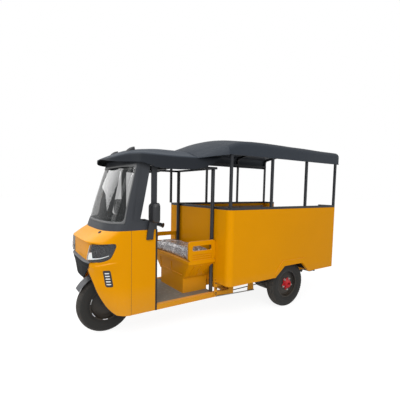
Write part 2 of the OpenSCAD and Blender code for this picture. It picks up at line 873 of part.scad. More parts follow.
// Floor with the wheel housings let into it
arch_room = 35;
arch_spare = 40;
arch_x0 = rear_x - tyre_r - arch_room;
arch_len = 2 * (tyre_r + arch_room) + arch_spare;
arch_in = frame_half + frame_w / 2 + 2;
arch_box_z = 600;
arch_sheet = 4;
module box_floor() {
    color(GREY)
        difference() {
            translate([box_rear, -box_hw + wall_t, box_z])
                cube([box_front - wall_t - box_rear, box_w - 2 * wall_t, floor_t]);
            both_sides()
                translate([arch_x0, arch_in, box_z - 1])
                cube([arch_len, box_hw, floor_t + 2]);
            both_sides()
                translate([box_front - corner_r, box_hw - corner_r, box_z - 1])
                cube([corner_r, corner_r, floor_t + 2]);
        }
}
module wheel_arches() {
    color(BLACK)
        both_sides()
        difference() {
            translate([arch_x0 + seat_gap, arch_in + seat_gap, box_z])
                cube([arch_len - 2 * seat_gap, box_hw - wall_t - arch_in - 2 * seat_gap,
                      arch_box_z - box_z]);
            translate([arch_x0 + arch_sheet, arch_in + arch_sheet, box_z - 1])
                cube([arch_len - 2 * arch_sheet, box_hw, arch_box_z - box_z + 1 - arch_sheet]);
        }
}

// Black tube rail along the walls' top
module top_rail() {
    rail_w = wall_t + 4;
    color(BLACK)
        translate([0, 0, wall_top_z])
        linear_extrude(rail_h) {
            difference() {
                union() {
                    translate([box_rear, -box_hw])
                        square([box_front - corner_r - box_rear, box_w]);
                    translate([box_rear, -box_hw + corner_r])
                        square([box_front - box_rear, box_w - 2 * corner_r]);
                    for (s = [-1, 1])
                        translate([box_front - corner_r, s * (box_hw - corner_r)])
                            circle(r = corner_r);
                }
                translate([box_rear + rail_w, -box_hw + rail_w])
                    square([box_front - box_rear - 2 * rail_w, box_w - 2 * rail_w]);
                translate([box_rear - 1, -doorway_w / 2])
                    square([rail_w + 2, doorway_w]);
            }
        }
}

// Canopy: distance along, shoulder height, crown height; heights are shares of its rise
tarp_nose = 34;
TARP = [
    for (p = [
        [-half_len, 0.716, 0.965],
        [post_x[0] - 0.59 * post_pitch, 0.756, 1],
        [post_x[0] - 0.24 * post_pitch, 0.667, 0.975],
        [post_x[0], 0.507, 0.766],
        [box_front + tarp_nose, 0.418, 0.637]
    ]) [p[0], hem_z + p[1] * tarp_rise, hem_z + p[2] * tarp_rise]
];
canopy_hw = box_hw + tarp_t;
tarp_crown_steps = 12;
// One canopy section from the left hem over the crown to the right hem, as (y, z)
function tarp_profile(x, depth, foot_z) =
    let (
        hw = canopy_hw - depth,
        zs = column(TARP, x, 1) - depth,
        zc = column(TARP, x, 2) - depth,
        r = shoulder_r - depth,
        flat = hw - r,
        left = concat(
            [[hw, foot_z]],
            [for (a = [0 : 22.5 : 90]) [flat + r * cos(a), zs - r + r * sin(a)]],
            [for (i = [1 : tarp_crown_steps / 2])
                let (y = flat * (1 - 2 * i / tarp_crown_steps))
                [y, zc - (zc - zs) * pow(y / flat, 2)]]
        ),
        n = len(left)
    )
    [for (p = left) p, for (i = [n - 2 : -1 : 0]) [-left[i][0], left[i][1]]];
function tarp_row(x, depth) = [for (p = tarp_profile(x, depth, hem_z)) [x, p[0], p[1]]];
module passenger_canopy() {
    front = box_front + tarp_nose;
    color(SLATE) {
        skin(
            [for (row = TARP) tarp_row(row[0], 0)],
            [for (row = TARP) tarp_row(row[0], tarp_t)]
        );
        // Front panel over and beside the cab's roof
        difference() {
            translate([front - tarp_t, 0, 0])
                rotate([90, 0, 90])
                linear_extrude(tarp_t)
                polygon(tarp_profile(front, tarp_t / 2, hem_z));
            roof_solid(-seat_gap);
        }
    }
}

// Posts on the rail, and bows with side tubes across their tops
bow_foot_z = hem_z + 22;
module canopy_posts() {
    color(BLACK)
        both_sides()
        for (x = post_x)
            translate([x - post_w / 2, box_hw - seat_gap - post_w, rail_z])
                cube([post_w, post_w, bow_foot_z - rail_z]);
}
bow_slack = 3;
module canopy_bows() {
    color(BLACK) {
        for (x = post_x) {
            at = x + post_w / 2;
            low = tarp_t + seat_gap + (x == post_x[0] || x == post_x[1] ? bow_slack : 0);
            outer = tarp_profile(at, low, bow_foot_z);
            inner = tarp_profile(at, low + bow_h, bow_foot_z);
            translate([x - post_w / 2, 0, 0])
                rotate([90, 0, 90])
                linear_extrude(post_w)
                polygon([
                    for (p = outer) p,
                    for (i = [len(inner) - 1 : -1 : 0]) inner[i]
                ]);
        }
        both_sides()
            translate([box_rear, box_hw - seat_gap - bow_slack - bow_h, bow_foot_z])
            cube([box_front - box_rear, bow_h, bow_h]);
    }
}

// Two benches along the walls: sheet frames, cushions, and backs against the walls
bench_in = 200;
bench_z = 800;
bench_t = 15;
bench_end_gap = 5;
cushion_nose = 10;
cushion_h = 70;
back_t = 65;
back_lift = 20;
bench_rear = box_rear + wall_t + 25;
bench_front = box_front - wall_t - 40;
module bench_frames() {
    color(YELLOW)
        both_sides()
        difference() {
            translate([bench_rear, bench_in, box_floor_z])
                cube([bench_front - bench_rear, box_hw - wall_t - bench_in, bench_z - box_floor_z]);
            translate([bench_rear + bench_t, bench_in + bench_t, box_floor_z - 1])
                cube([bench_front - bench_rear - 2 * bench_t, box_hw, bench_z - box_floor_z + 1 - bench_t]);
        }
}
module bench_cushions() {
    color(BROWN)
        both_sides()
        translate([bench_rear + bench_end_gap, bench_in - cushion_nose, bench_z + seat_gap])
        cube([bench_front - bench_rear - 2 * bench_end_gap,
              box_hw - wall_t - back_t - bench_in + cushion_nose - bench_end_gap, cushion_h]);
}
module bench_backs() {
    color(BROWN)
        both_sides()
        translate([bench_rear + bench_end_gap, box_hw - wall_t - back_t - seat_gap, bench_z + back_lift])
        cube([bench_front - bench_rear - 2 * bench_end_gap, back_t, wall_top_z - bench_z - back_lift - 4]);
}

// Rear axle on leaf springs, with the drive motor beside its middle
axle_r = 35;
spring_y = frame_half;
spring_w = 46;
spring_reach = 430;
diff_r = 95;
diff_w = 90;
motor_r = 136;
motor_gap = 3;
motor_spring_gap = 29;
module rear_axle() {
    tube_half = track_half - tyre_w / 2 - 14;
    color(BLACK)
        translate([rear_x, 0, tyre_r])
        rotate([90, 0, 0]) {
            cylinder(r = axle_r, h = 2 * tube_half, center = true);
            cylinder(r = spindle_r, h = 2 * (track_half + 40), center = true);
            cylinder(r = diff_r, h = diff_w, center = true);
        }
}
module drive_motor() {
    motor_in = diff_w / 2 + motor_gap;
    motor_len = spring_y - spring_w / 2 - motor_spring_gap - motor_in;
    color(BLACK)
        translate([rear_x, motor_in, tyre_r])
        rotate([-90, 0, 0])
        difference() {
            cylinder(r = motor_r, h = motor_len);
            translate([0, 0, -1]) cylinder(r = axle_r + seat_gap, h = motor_len + 2);
        }
}
// Leaf packs on the axle: the shortest leaf below, eyes and hangers at the main leaf's ends
leaf_t = 8;
leaf_count = 4;
leaf_step = 90;
eye_r = 14;
module leaf_springs() {
    main_z = (leaf_count - 0.5) * leaf_t;
    hanger_h = box_z - frame_h - tyre_r - axle_r - seat_gap - main_z;
    color(BLACK)
        both_sides()
        translate([rear_x, spring_y - spring_w / 2, tyre_r + axle_r + seat_gap]) {
            for (i = [0 : leaf_count - 1]) {
                reach = spring_reach - (leaf_count - 1 - i) * leaf_step;
                translate([-reach, 0, i * leaf_t])
                    cube([2 * reach, spring_w, leaf_t]);
            }
            for (s = [-1, 1])
                translate([s * spring_reach, 0, main_z]) {
                    rotate([-90, 0, 0]) cylinder(r = eye_r, h = spring_w);
                    translate([-1.5 * eye_r, 0, 0]) cube([3 * eye_r, spring_w, hanger_h]);
                }
        }
}
rod_r = 5;
rod_y = 295;
module brake_rod() {
    below_sill = sill_z - rod_r - 1;
    color(BLACK)
        rod([box_front + 20, rod_y, below_sill - 6], [rear_x + axle_r + seat_gap, rod_y, tyre_r], rod_r);
}

// Tail lamps on the rear returns, and a step below the doorway
tail_lamp = [15, 80, 150];
tail_lamp_z = 560;
module tail_lamps() {
    color(RED)
        both_sides()
        translate([box_rear - tail_lamp[0], (box_hw + doorway_w / 2 - tail_lamp[1]) / 2, tail_lamp_z])
        cube(tail_lamp);
}
step_z = 290;
step_t = 20;
step_reach = 20;
strap_t = 8;
module rear_step() {
    color(BLACK) {
        translate([box_rear - step_reach, -frame_half, step_z])
            cube([110, 2 * frame_half, step_t]);
        both_sides()
            translate([box_rear + 10 - strap_t, frame_half - frame_w / 2, step_z])
            cube([strap_t, frame_w, box_z - step_z]);
    }
}

// Steered parts: fork legs and axle below a yoke, stem up through the head
leg_y = tyre_w / 2 + 24;
leg_r = 15;
slider_r = 19;
slider_share = 0.55;
guard_r = tyre_r + 32;
guard_t = 4;
guard_w = tyre_w + 16;
yoke_t = 26;
yoke_at = guard_r + guard_t + seat_gap + yoke_t / 2 - axle_lead * sin(rake);
stem_top = 800;
module fork() {
    color(BLACK) {
        both_sides() {
            foot = [front_x, leg_y, tyre_r];
            top = [axis_foot_x - yoke_at * sin(rake), leg_y, tyre_r + yoke_at * cos(rake)];
            rod(foot, top, leg_r);
            rod(foot, foot + (top - foot) * slider_share, slider_r);
        }
        translate([front_x, 0, tyre_r])
            rotate([90, 0, 0])
            cylinder(r = front_axle_r, h = 2 * leg_y + 40, center = true);
        on_steering_axis(yoke_at - yoke_t / 2)
            translate([-30, -leg_y - leg_r, 0])
            cube([60, 2 * (leg_y + leg_r), yoke_t]);
        on_steering_axis(yoke_at) cylinder(r = stem_r, h = stem_top - yoke_at);
    }
}

// Handlebar clamped on the stem, swept back to its grips
grip_y = 280;
module handlebar() {
    top = [axis_foot_x - stem_top * sin(rake), 0, tyre_r + stem_top * cos(rake)];
    knee = top + [-40, 110, 30];
    grip = top + [-150, grip_y, -8];
    color(BLACK) {
        on_steering_axis(stem_top) cylinder(r = 26, h = 40);
        both_sides() {
            rod(top + [-8, 0, 20], knee, 11);
            rod(knee, knee + (grip - knee) * 0.35, 11);
            rod(knee + (grip - knee) * 0.34, grip, 16);
            translate(knee) sphere(r = 11.5);
        }
    }
}

// Mudguard close over the front tyre, up to the yoke that carries it
module front_mudguard() {
    color(BLACK)
        translate([front_x, guard_w / 2, tyre_r])
        rotate([90, 0, 0])
        rotate_extrude(start = 32, angle = 90)
        translate([guard_r, 0])
        square([guard_t, guard_w]);
}

// Tyre section: a rounded tread and bulged walls down to the beads, as (radius, across)
tyre_steps = 10;
function tyre_half() = [
    for (i = [0 : tyre_steps])
        let (t = 90 * i / tyre_steps, mid = (tyre_r + bead_r) / 2 - 6)
        [mid + (tyre_r - mid) * pow(cos(t), 0.7), tyre_w / 2 * pow(sin(t), 0.7)],
    [bead_r + 14, tyre_w / 2 * 0.86],
    [bead_r, tyre_w / 2 * 0.74]
];
module tyre() {
    half = tyre_half();
    n = len(half);
    rotate([90, 0, 0])
        rotate_extrude($fn = 96)
        polygon([for (p = half) p, for (i = [n - 1 : -1 : 1]) [half[i][0], -half[i][1]]]);
}
rim_w = tyre_w * 0.74;
module rim(bore_r, hub_r, hub_half, disc_at) {
    rotate([90, 0, 0])
        rotate_extrude($fn = 96) {
            polygon([
                [bead_r - 0.3, -rim_w / 2], [bead_r - 0.3, rim_w / 2], [bead_r - 10, rim_w / 2],
                [bead_r - 16, 0], [bead_r - 10, -rim_w / 2]
            ]);
            translate([hub_r - 2, -disc_at - 6]) square([bead_r - 12 - hub_r, 12]);
            translate([bore_r, -hub_half]) square([hub_r - bore_r, 2 * hub_half]);
        }
}
module front_tyre() { color(BLACK) translate([front_x, 0, tyre_r]) tyre(); }
module front_rim() {
    color(BLACK)
        translate([front_x, 0, tyre_r])
        rim(front_axle_r + shaft_gap, 46, leg_y - slider_r - 6, 0);
}
module rear_wheel_at(side) {
    translate([rear_x, side * track_half, tyre_r])
        rotate([0, 0, side > 0 ? 0 : 180])
        children();
}
module rear_rim() { rim(spindle_r + shaft_gap, 52, 40, -14); }
module rear_tyre_left() { color(BLACK) rear_wheel_at(1) tyre(); }
module rear_rim_left() { color(BLACK) rear_wheel_at(1) rear_rim(); }
module rear_tyre_right() { color(BLACK) rear_wheel_at(-1) tyre(); }
module rear_rim_right() { color(BLACK) rear_wheel_at(-1) rear_rim(); }

chassis_frame();
cab_floor();
nose_shell();
nose_apron();
headlamps();
light_bars();
marker_plates();
cab_side_panels();
windscreen_surround();
windscreen_glass();
dashboard();
door_posts();
cab_roof_frame();
cab_canopy();
roof_lamps();
mirrors();
seat_base();
seat_cushion();
battery_block();
partition_posts();
front_wall();
box_side_left();
box_side_right();
rear_returns();
box_floor();
wheel_arches();
top_rail();
canopy_posts();
canopy_bows();
passenger_canopy();
bench_frames();
bench_cushions();
bench_backs();
rear_axle();
drive_motor();
leaf_springs();
brake_rod();
tail_lamps();
rear_step();
fork();
handlebar();
front_mudguard();
front_tyre();
front_rim();
rear_tyre_left();
rear_rim_left();
rear_tyre_right();
rear_rim_right();
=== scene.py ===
from math import atan2, copysign, cos, hypot, pi, radians, sin

import bmesh
import bpy
import numpy as np
from mathutils import Matrix, Vector, noise


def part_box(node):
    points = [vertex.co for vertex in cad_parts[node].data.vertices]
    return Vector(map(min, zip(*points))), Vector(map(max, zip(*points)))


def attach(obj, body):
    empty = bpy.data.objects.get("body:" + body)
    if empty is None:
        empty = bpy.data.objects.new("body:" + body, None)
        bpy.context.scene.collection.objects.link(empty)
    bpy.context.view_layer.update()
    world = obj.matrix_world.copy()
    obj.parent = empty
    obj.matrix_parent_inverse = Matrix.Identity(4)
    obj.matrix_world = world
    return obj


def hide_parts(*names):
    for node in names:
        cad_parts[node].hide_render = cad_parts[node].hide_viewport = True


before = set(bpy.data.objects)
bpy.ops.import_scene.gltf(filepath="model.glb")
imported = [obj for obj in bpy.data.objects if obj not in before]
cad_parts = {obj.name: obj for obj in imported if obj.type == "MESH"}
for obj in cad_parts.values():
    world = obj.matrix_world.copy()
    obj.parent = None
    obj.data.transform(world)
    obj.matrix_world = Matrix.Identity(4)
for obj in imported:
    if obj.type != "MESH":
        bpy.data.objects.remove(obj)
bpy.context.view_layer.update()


# Ladder frame and sills: square steel tube cut to length and welded, sprayed with the
# same yellow enamel as the bodywork. Road dust dulls the paint towards the ground.
class Ink:
    """A socket on its way through a finish's nodes, worked with plain operators."""

    def __init__(self, tree, socket=None):
        self.tree, self.socket = tree, socket

    def node(self, kind, settings=None, sockets=None, out=0):
        made = self.tree.nodes.new("ShaderNode" + kind)
        for name, value in (settings or {}).items():
            if name == "stops":
                ends = made.color_ramp.elements
                for element, (at, colour) in zip((ends[0], ends[1]), (value[0], value[-1])):
                    element.position, element.color = at, colour
                for at, colour in value[1:-1]:
                    ends.new(at).color = colour
            else:
                setattr(made, name, value)
        for key, value in (sockets or {}).items():
            if isinstance(value, Ink):
                self.tree.links.new(value.socket, made.inputs[key])
            else:
                made.inputs[key].default_value = value
        return Ink(self.tree, made.outputs[out])

    def maths(self, operation, a, b):
        return self.node("Math", {"operation": operation}, {0: a, 1: b})

    def __add__(self, other):
        return self.maths("ADD", self, other)

    __radd__ = __add__

    def __sub__(self, other):
        return self.maths("SUBTRACT", self, other)

    def __rsub__(self, other):
        return self.maths("SUBTRACT", other, self)

    def __mul__(self, other):
        return self.maths("MULTIPLY", self, other)

    __rmul__ = __mul__

    def held(self):
        return self.node("Clamp", {}, {0: self})

    def tone(self, low, high):
        return self.node("Mix", {"data_type": "RGBA"}, {0: self, 6: low, 7: high}, out=2)

    def mottled(self, colour, low, high):
        return self.tone(deeper(colour, low), deeper(colour, high))

    def place(self):
        return self.node("TexCoord", out=3)

    def height(self):
        return self.node("SeparateXYZ", {}, {0: self.place()}, out=2)

    def facing_up(self):
        return self.node("SeparateXYZ", {}, {0: self.node("NewGeometry", out=1)}, out=2)

    def clouds(self, scale, detail=3.0, rough=0.5, place=None):
        sockets = {"Vector": place or self.place(), "Scale": scale, "Detail": detail, "Roughness": rough}
        return self.node("TexNoise", {}, sockets)

    def raised(self, height, strength, distance=0.001):
        return self.node("Bump", {}, {"Strength": strength, "Distance": distance, "Height": height})


def shade(red, green, blue):
    """A colour as it is read off a screen, made linear."""
    shares = (red / 255, green / 255, blue / 255)
    return tuple(c / 12.92 if c <= 0.04045 else ((c + 0.055) / 1.055) ** 2.4 for c in shares) + (1.0,)


def deeper(colour, share):
    return tuple(c * share for c in colour[:3]) + (1.0,)


def finish(name, plain, varied):
    """A finish: plain numbers on the shader's own sockets, and what varies over the surface."""
    material = bpy.data.materials.new(name)
    material.use_nodes = True
    tree = material.node_tree
    shader = tree.nodes["Principled BSDF"]
    for socket, value in plain.items():
        shader.inputs[socket].default_value = value
    for socket, value in varied(Ink(tree)).items():
        tree.links.new(value.socket, shader.inputs[socket])
    return material


road_dust = shade(150, 132, 104)


def enamel(name, colour, dust_top=0.5):
    """Sprayed paint with a little orange peel, with a painted sheen that pales it where it faces up, dusty
    below dust_top metres.
    """

    def varied(ink):
        cloud = ink.clouds(2.4)
        speck = ink.clouds(45.0, 6.0, 0.7)
        dust = ((1 - ink.height() * (1 / dust_top)).held() * speck * 0.55).held()
        coat = cloud.mottled(colour, 0.93, 1.05)
        # Painted highlight: faces that look up are toned towards a paler colour, for the sky's sheen on the
        # paint.
        sheen_colour = tuple(1.25 * c + 0.09 for c in colour[:3]) + (1.0,)
        painted_sheen = (ink.facing_up() * 0.9 - 0.25).held().tone(coat, sheen_colour)
        return {
            "Base Color": dust.tone(painted_sheen, road_dust),
            "Roughness": cloud * 0.10 + dust * 0.5 + 0.30,
            "Normal": ink.raised(ink.clouds(330.0), 0.05),
        }

    return finish(name, {"Specular IOR Level": 0.03, "Coat Weight": 0.02, "Coat Roughness": 0.12}, varied)


body_yellow = enamel("body_yellow", shade(202, 134, 0))


def dress(nodes, coat, edge=0.003, steps=3):
    """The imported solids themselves, with their edges eased and a finish on them."""
    for node in nodes.split():
        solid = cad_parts[node]
        solid.data.materials.clear()
        solid.data.materials.append(coat)
        solid.data.shade_smooth()
        solid.modifiers.new("weld", "WELD").merge_threshold = 2e-5
        flat = solid.modifiers.new("flat", "DECIMATE")
        flat.decimate_type, flat.angle_limit = "DISSOLVE", radians(0.8)
        ease = solid.modifiers.new("ease", "BEVEL")
        ease.width, ease.segments = edge, steps
        ease.limit_method, ease.angle_limit = "ANGLE", radians(33)
        ease.harden_normals = True
        solid.modifiers.new("light", "WEIGHTED_NORMAL").keep_sharp = True


dress("chassis_frame", body_yellow, 0.005)


# Rear axle, motor, leaf springs, brake rod and step: forged, cast and rolled steel under
# black chassis paint, greasy at the joints, bolted together with bright fasteners.
def chassis_black(name, colour, rough, grime=0.75):
    def varied(ink):
        cloud = ink.clouds(9.0, 5.0, 0.65)
        grit = ink.clouds(160.0, 3.0)
        dust = ((1 - ink.height() * 1.6).held() * cloud * grime).held()
        return {
            "Base Color": dust.tone(cloud.mottled(colour, 0.8, 1.25), deeper(road_dust, 0.6)),
            "Roughness": cloud * 0.25 + dust * 0.3 + rough,
            "Normal": ink.raised(grit, 0.12),
        }

    return finish(name, {"Specular IOR Level": 0.35}, varied)


running_black = chassis_black("running_black", shade(34, 34, 37), 0.38)
dress("rear_axle brake_rod leaf_springs rear_step", running_black, 0.002)


def placed(name, data):
    made = bpy.data.objects.new(name, data)
    bpy.context.scene.collection.objects.link(made)
    return made


def fixed(made, body="chassis", stands_for=()):
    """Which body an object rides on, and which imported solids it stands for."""
    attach(made, body)
    if stands_for:
        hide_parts(*stands_for)


def piece(name, parts, coat, body="chassis", stands_for=(), crease=34):
    """One object from lists of points and faces, shaded smooth between its creases."""
    points, faces = [], []
    for more_points, more_faces in parts:
        faces += [[i + len(points) for i in face] for face in more_faces]
        points += [tuple(p) for p in more_points]
    mesh = bpy.data.meshes.new(name)
    mesh.from_pydata(points, [], faces)
    mesh.materials.append(coat)
    made = placed(name, mesh)
    settle(made, crease)
    fixed(made, body, stands_for)
    return made


def settle(made, crease):
    """Closes the seams of a mesh, turns its faces outward and marks its creases."""
    work = bmesh.new()
    work.from_mesh(made.data)
    bmesh.ops.remove_doubles(work, verts=work.verts, dist=2e-6)
    bmesh.ops.dissolve_degenerate(work, edges=work.edges, dist=1e-6)
    bmesh.ops.recalc_face_normals(work, faces=work.faces)
    for face in work.faces:
        face.smooth = True
    for edge in work.edges:
        edge.smooth = edge.calc_face_angle(0.0) < radians(crease)
    work.to_mesh(made.data)
    work.free()


def mirrored(parts):
    return [([(x, -y, z) for x, y, z in points], faces) for points, faces in parts]


def both(parts):
    return parts + mirrored(parts)


def skin(rows, count, closed):
    """Faces between rows of points that each close on themselves; closed joins the last row to the first."""
    return [
        (r * count + i, r * count + (i + 1) % count,
         (r + 1) % rows * count + (i + 1) % count, (r + 1) % rows * count + i)
        for r in range(rows if closed else rows - 1) for i in range(count)
    ]


def turned(outline, place, steps=48):
    """A closed outline of (radius, along) points turned about the y axis of a place."""
    points = []
    for k in range(steps):
        a = 2 * pi * k / steps
        points += [place @ Vector((r * cos(a), along, r * sin(a))) for r, along in outline]
    return points, skin(steps, len(outline), True)


def lofted(sections):
    """A solid through outlines of the same count, closed at both ends."""
    count, last = len(sections[0]), (len(sections) - 1) * len(sections[0])
    ends = [tuple(range(count)), tuple(range(last, last + count))]
    return [p for section in sections for p in section], skin(len(sections), count, False) + ends


def plate(outline, place, thick):
    """A flat outline (x, z of a place), thick along its y axis."""
    return lofted([[place @ Vector((x, y, z)) for x, z in outline] for y in (0, thick)])


def circle(radius, sides):
    angles = [2 * pi * k / sides for k in range(sides)]
    return [(radius * cos(a), radius * sin(a)) for a in angles]


def at(x, y, z, spin=(0, 0, 0)):
    """A place: where it is, and its turns about x, y and z in degrees."""
    turn = Matrix.Identity(4)
    for angle, axis in zip(spin, "XYZ"):
        turn = Matrix.Rotation(radians(angle), 4, axis) @ turn
    return Matrix.Translation((x, y, z)) @ turn


def nut(place, radius=0.011, height=0.009):
    """A hexagon nut on a washer, with the end of its stud."""
    washer = turned([(0, 0), (1.35 * radius, 0), (1.35 * radius, 0.002), (0, 0.002)], place, 20)
    hexagon = plate(circle(radius, 6), place @ Matrix.Translation((0, 0.002, 0)), height)
    stud = turned([(0, 0), (0.55 * radius, 0), (0.55 * radius, 1.5 * height), (0.4 * radius, 1.7 * height),
                   (0, 1.7 * height)], place, 14)
    return [washer, hexagon, stud]


def bright_zinc(name, colour):
    def varied(ink):
        cloud = ink.clouds(60.0, 4.0)
        return {"Base Color": cloud.tone(deeper(colour, 0.7), colour), "Roughness": cloud * 0.3 + 0.2}

    return finish(name, {"Metallic": 0.9}, varied)


zinc = bright_zinc("zinc", shade(176, 176, 172))
tyre_lo, tyre_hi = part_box("rear_tyre_left")
REAR_X, AXLE_Z, TRACK, SPRING_Y = (tyre_lo.x + tyre_hi.x) / 2, 0.265, 0.437, 0.330

motor_lo, motor_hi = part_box("drive_motor")
MOTOR_LEN, MOTOR_BORE, CASE_R, FIN_R, BOLT_RING = motor_hi.y - motor_lo.y, 0.036, 0.122, 0.136, 0.095
fins = []
for k in range(9):
    near, far = MOTOR_LEN * (0.14 + 0.08 * k), MOTOR_LEN * (0.14 + 0.08 * k + 0.045)
    fins += [(CASE_R, near - 0.004), (FIN_R, near), (FIN_R, far), (CASE_R, far + 0.004)]
casting = turned([(MOTOR_BORE, 0), (0.116, 0), (CASE_R, 0.006)] + fins
                 + [(0.118, MOTOR_LEN - 0.006), (0.108, MOTOR_LEN), (MOTOR_BORE, MOTOR_LEN)],
                 at(REAR_X, motor_lo.y, AXLE_Z), 72)
cover_bolts = []
for x, z in circle(BOLT_RING, 6):
    cover_bolts += nut(at(REAR_X + x, motor_hi.y - 0.0005, AXLE_Z + z), 0.008, 0.006)
motor_grey = chassis_black("motor_grey", shade(52, 52, 54), 0.42)
piece("motor_casing", [casting], motor_grey, stands_for=["drive_motor"])
piece("motor_bolts", cover_bolts, zinc)


def tube(path, radius, sides=12):
    """A round bar that follows a path, closed at its ends."""
    path = [Vector(p) for p in path]
    rings, side = [], None
    for k, p in enumerate(path):
        along = (path[min(k + 1, len(path) - 1)] - path[max(k - 1, 0)]).normalized()
        if side is None:
            side = along.orthogonal().normalized()
        side = (side - along * side.dot(along)).normalized()
        across = along.cross(side)
        reach = radius[k] if isinstance(radius, (list, tuple)) else radius
        rings.append([p + (side * c + across * s) * reach for c, s in circle(1.0, sides)])
    return lofted(rings)


U_HALF, U_TOP, U_NUT_Z = 0.036, 0.345, 0.333
u_bolts = []
for s in (-1, 1):
    for x in (REAR_X - U_HALF, REAR_X + U_HALF):
        bend = [(x, s * SPRING_Y + U_HALF * cos(a), AXLE_Z - 0.012 - U_HALF * sin(a))
                for a in (pi * k / 12 for k in range(13))]
        legs = [(x, s * SPRING_Y + y, U_TOP) for y in (U_HALF, -U_HALF)]
        u_bolts.append(tube([legs[0], *bend, legs[1]], 0.005, 10))
        for y in (-U_HALF, U_HALF):
            u_bolts += nut(at(x, s * SPRING_Y + y, U_NUT_Z, (90, 0, 0)), 0.009)
piece("spring_u_bolts", u_bolts, zinc)


# Fork and handlebar: welded tube in black paint, turning in the steering head; grips, levers
# and switch pods are clamped to the bar's ends, and the mudguard is a grey moulding bolted
# to the fork.
dress("fork", running_black, 0.002)


def black_plastic(name, colour, rough, grain=520.0, shine=0.4):
    def varied(ink):
        cloud = ink.clouds(5.0, 4.0)
        return {
            "Base Color": cloud.mottled(colour, 0.85, 1.2),
            "Roughness": cloud * 0.14 + rough,
            "Normal": ink.raised(ink.clouds(grain, 2.0), 0.12),
        }

    return finish(name, {"Specular IOR Level": shine}, varied)


dark_moulding = black_plastic("dark_moulding", shade(33, 34, 37), 0.34)
dress("handlebar", running_black, 0.001)
guard_grey = black_plastic("guard_grey", shade(74, 75, 78), 0.42)
dress("front_mudguard", guard_grey, 0.0015)

RAKE, FRONT_X, TRAIL, STEM_LEN = radians(21), REAR_X + 2.000, 0.02172, 0.800
STEM_TOP = Vector((FRONT_X - TRAIL - STEM_LEN * sin(RAKE), 0, AXLE_Z + STEM_LEN * cos(RAKE)))
KNEE, GRIP = STEM_TOP + Vector((-0.040, 0.110, 0.030)), STEM_TOP + Vector((-0.150, 0.280, -0.008))
GRIP_R, LEVER_LEN = 0.0172, 0.145
hand = (GRIP - KNEE).normalized()
grip_from = KNEE + (GRIP - KNEE) * 0.42
grip_path, grip_radii = [], []
for k in range(41):
    grip_path.append(grip_from + (GRIP + hand * 0.004 - grip_from) * (k / 40))
    flange = 0.006 if k in (1, 2) or k >= 38 else 0.0
    grip_radii.append(GRIP_R + 0.0012 * (k % 2) + flange)
pod_path = [KNEE + (GRIP - KNEE) * (0.24 + 0.014 * k) for k in range(10)]
pod_radii = [0.014, 0.021, 0.024, 0.025, 0.025, 0.025, 0.025, 0.024, 0.021, 0.014]
lever = [pod_path[5] + hand * 0.004 + Vector((0.030 + 0.010 * sin(k / 12 * pi), 0, -0.004))
         + hand * (LEVER_LEN * k / 12) for k in range(13)]
lever_radii = [0.0065 - 0.0015 * k / 12 for k in range(12)] + [0.008]
perch = tube([pod_path[5], lever[0]], [0.011, 0.008], 12)
for name, parts, coat, slot in (
    ("grips", [tube(grip_path, grip_radii, 20)], dark_moulding, "black_moulding"),
    ("switch_pods", [tube(pod_path, pod_radii, 20), perch], dark_moulding, "black_moulding"),
    ("brake_levers", [tube(lever, lever_radii, 10)], zinc, "running_gear"),
):
    piece(name, both(parts), coat, "steering", crease=60)


# Cab and box floors: pressed sheet in grey primer, bolted down over the frame's cross tubes
# and scuffed by feet along the door openings.
def worn_grey(name, colour):
    def varied(ink):
        cloud = ink.clouds(4.0, 6.0, 0.6)
        scuff = ink.node("ValToRGB", {"stops": [(0.52, (0, 0, 0, 1)), (0.70, (1, 1, 1, 1))]},
                         {0: ink.clouds(26.0, 8.0, 0.7)})
        return {
            "Base Color": (scuff * 0.5).tone(cloud.mottled(colour, 0.8, 1.15), shade(158, 152, 142)),
            "Roughness": cloud * 0.3 + 0.42,
            "Normal": ink.raised(ink.clouds(90.0, 4.0), 0.10),
        }

    return finish(name, {"Specular IOR Level": 0.3}, varied)


floor_grey = worn_grey("floor_grey", shade(116, 112, 104))
dress("cab_floor box_floor", floor_grey, 0.001)


# Nose: one hand-laid glass-fibre moulding, yellow gel coat outside, with the wheel's mouth,
# two lamp openings and two marker openings cut in it and a pressed ledge under the lamps.
SEAM, REACH, SILL, RISE, HALF = FRONT_X - 0.110, 0.348 / 0.86, 0.253, 0.732, 0.3725
NOSE_T = 0.006
PROW = (  # height share, reach share, exponent of the corner
    (0, 0.469, 2.0), (0.20, 0.677, 2.0), (0.39, 0.840, 2.3), (0.53, 0.860, 3.0), (0.60, 0.868, 3.7),
    (0.640, 0.872, 4.2), (0.650, 0.868, 4.3), (0.664, 0.820, 5.2), (0.68, 0.812, 5.5), (0.85, 0.812, 5.5),
    (0.864, 0.818, 5.3), (0.876, 0.866, 4.5), (0.882, 0.872, 4.3), (0.91, 0.815, 4.0), (0.95, 0.715, 3.6),
    (1, 0.563, 3.2),
)


def eased(places, values):
    """A smooth curve through a short table, that never overshoots it."""
    x, y = np.array(places, float), np.array(values, float)
    step, slope = np.diff(x), np.diff(y) / np.diff(x)
    inner = [0 if a * b <= 0 else 2 * a * b / (a + b) for a, b in zip(slope[:-1], slope[1:])]
    lean = np.array([slope[0], *inner, slope[-1]])

    def curve(q):
        i = int(np.clip(np.searchsorted(x, q) - 1, 0, len(x) - 2))
        t = min(1.0, max(0.0, (q - x[i]) / step[i]))
        rise = t * t * (3 - 2 * t)
        return float(y[i] * (1 - rise) + y[i + 1] * rise
                     + step[i] * t * (1 - t) * (lean[i] * (1 - t) - lean[i + 1] * t))

    return curve


def columns(table):
    return [eased([row[0] for row in table], [row[c] for row in table]) for c in range(1, len(table[0]))]


reach_at, bend_at = columns(PROW)


def corner(n, turn):
    """A point of a unit superellipse, a share of the quarter turn from the front."""
    c, s = max(cos(turn * pi / 2), 0.0), sin(turn * pi / 2)
    size = (c ** n + s ** n) ** (-1 / n)
    return c * size, s * size


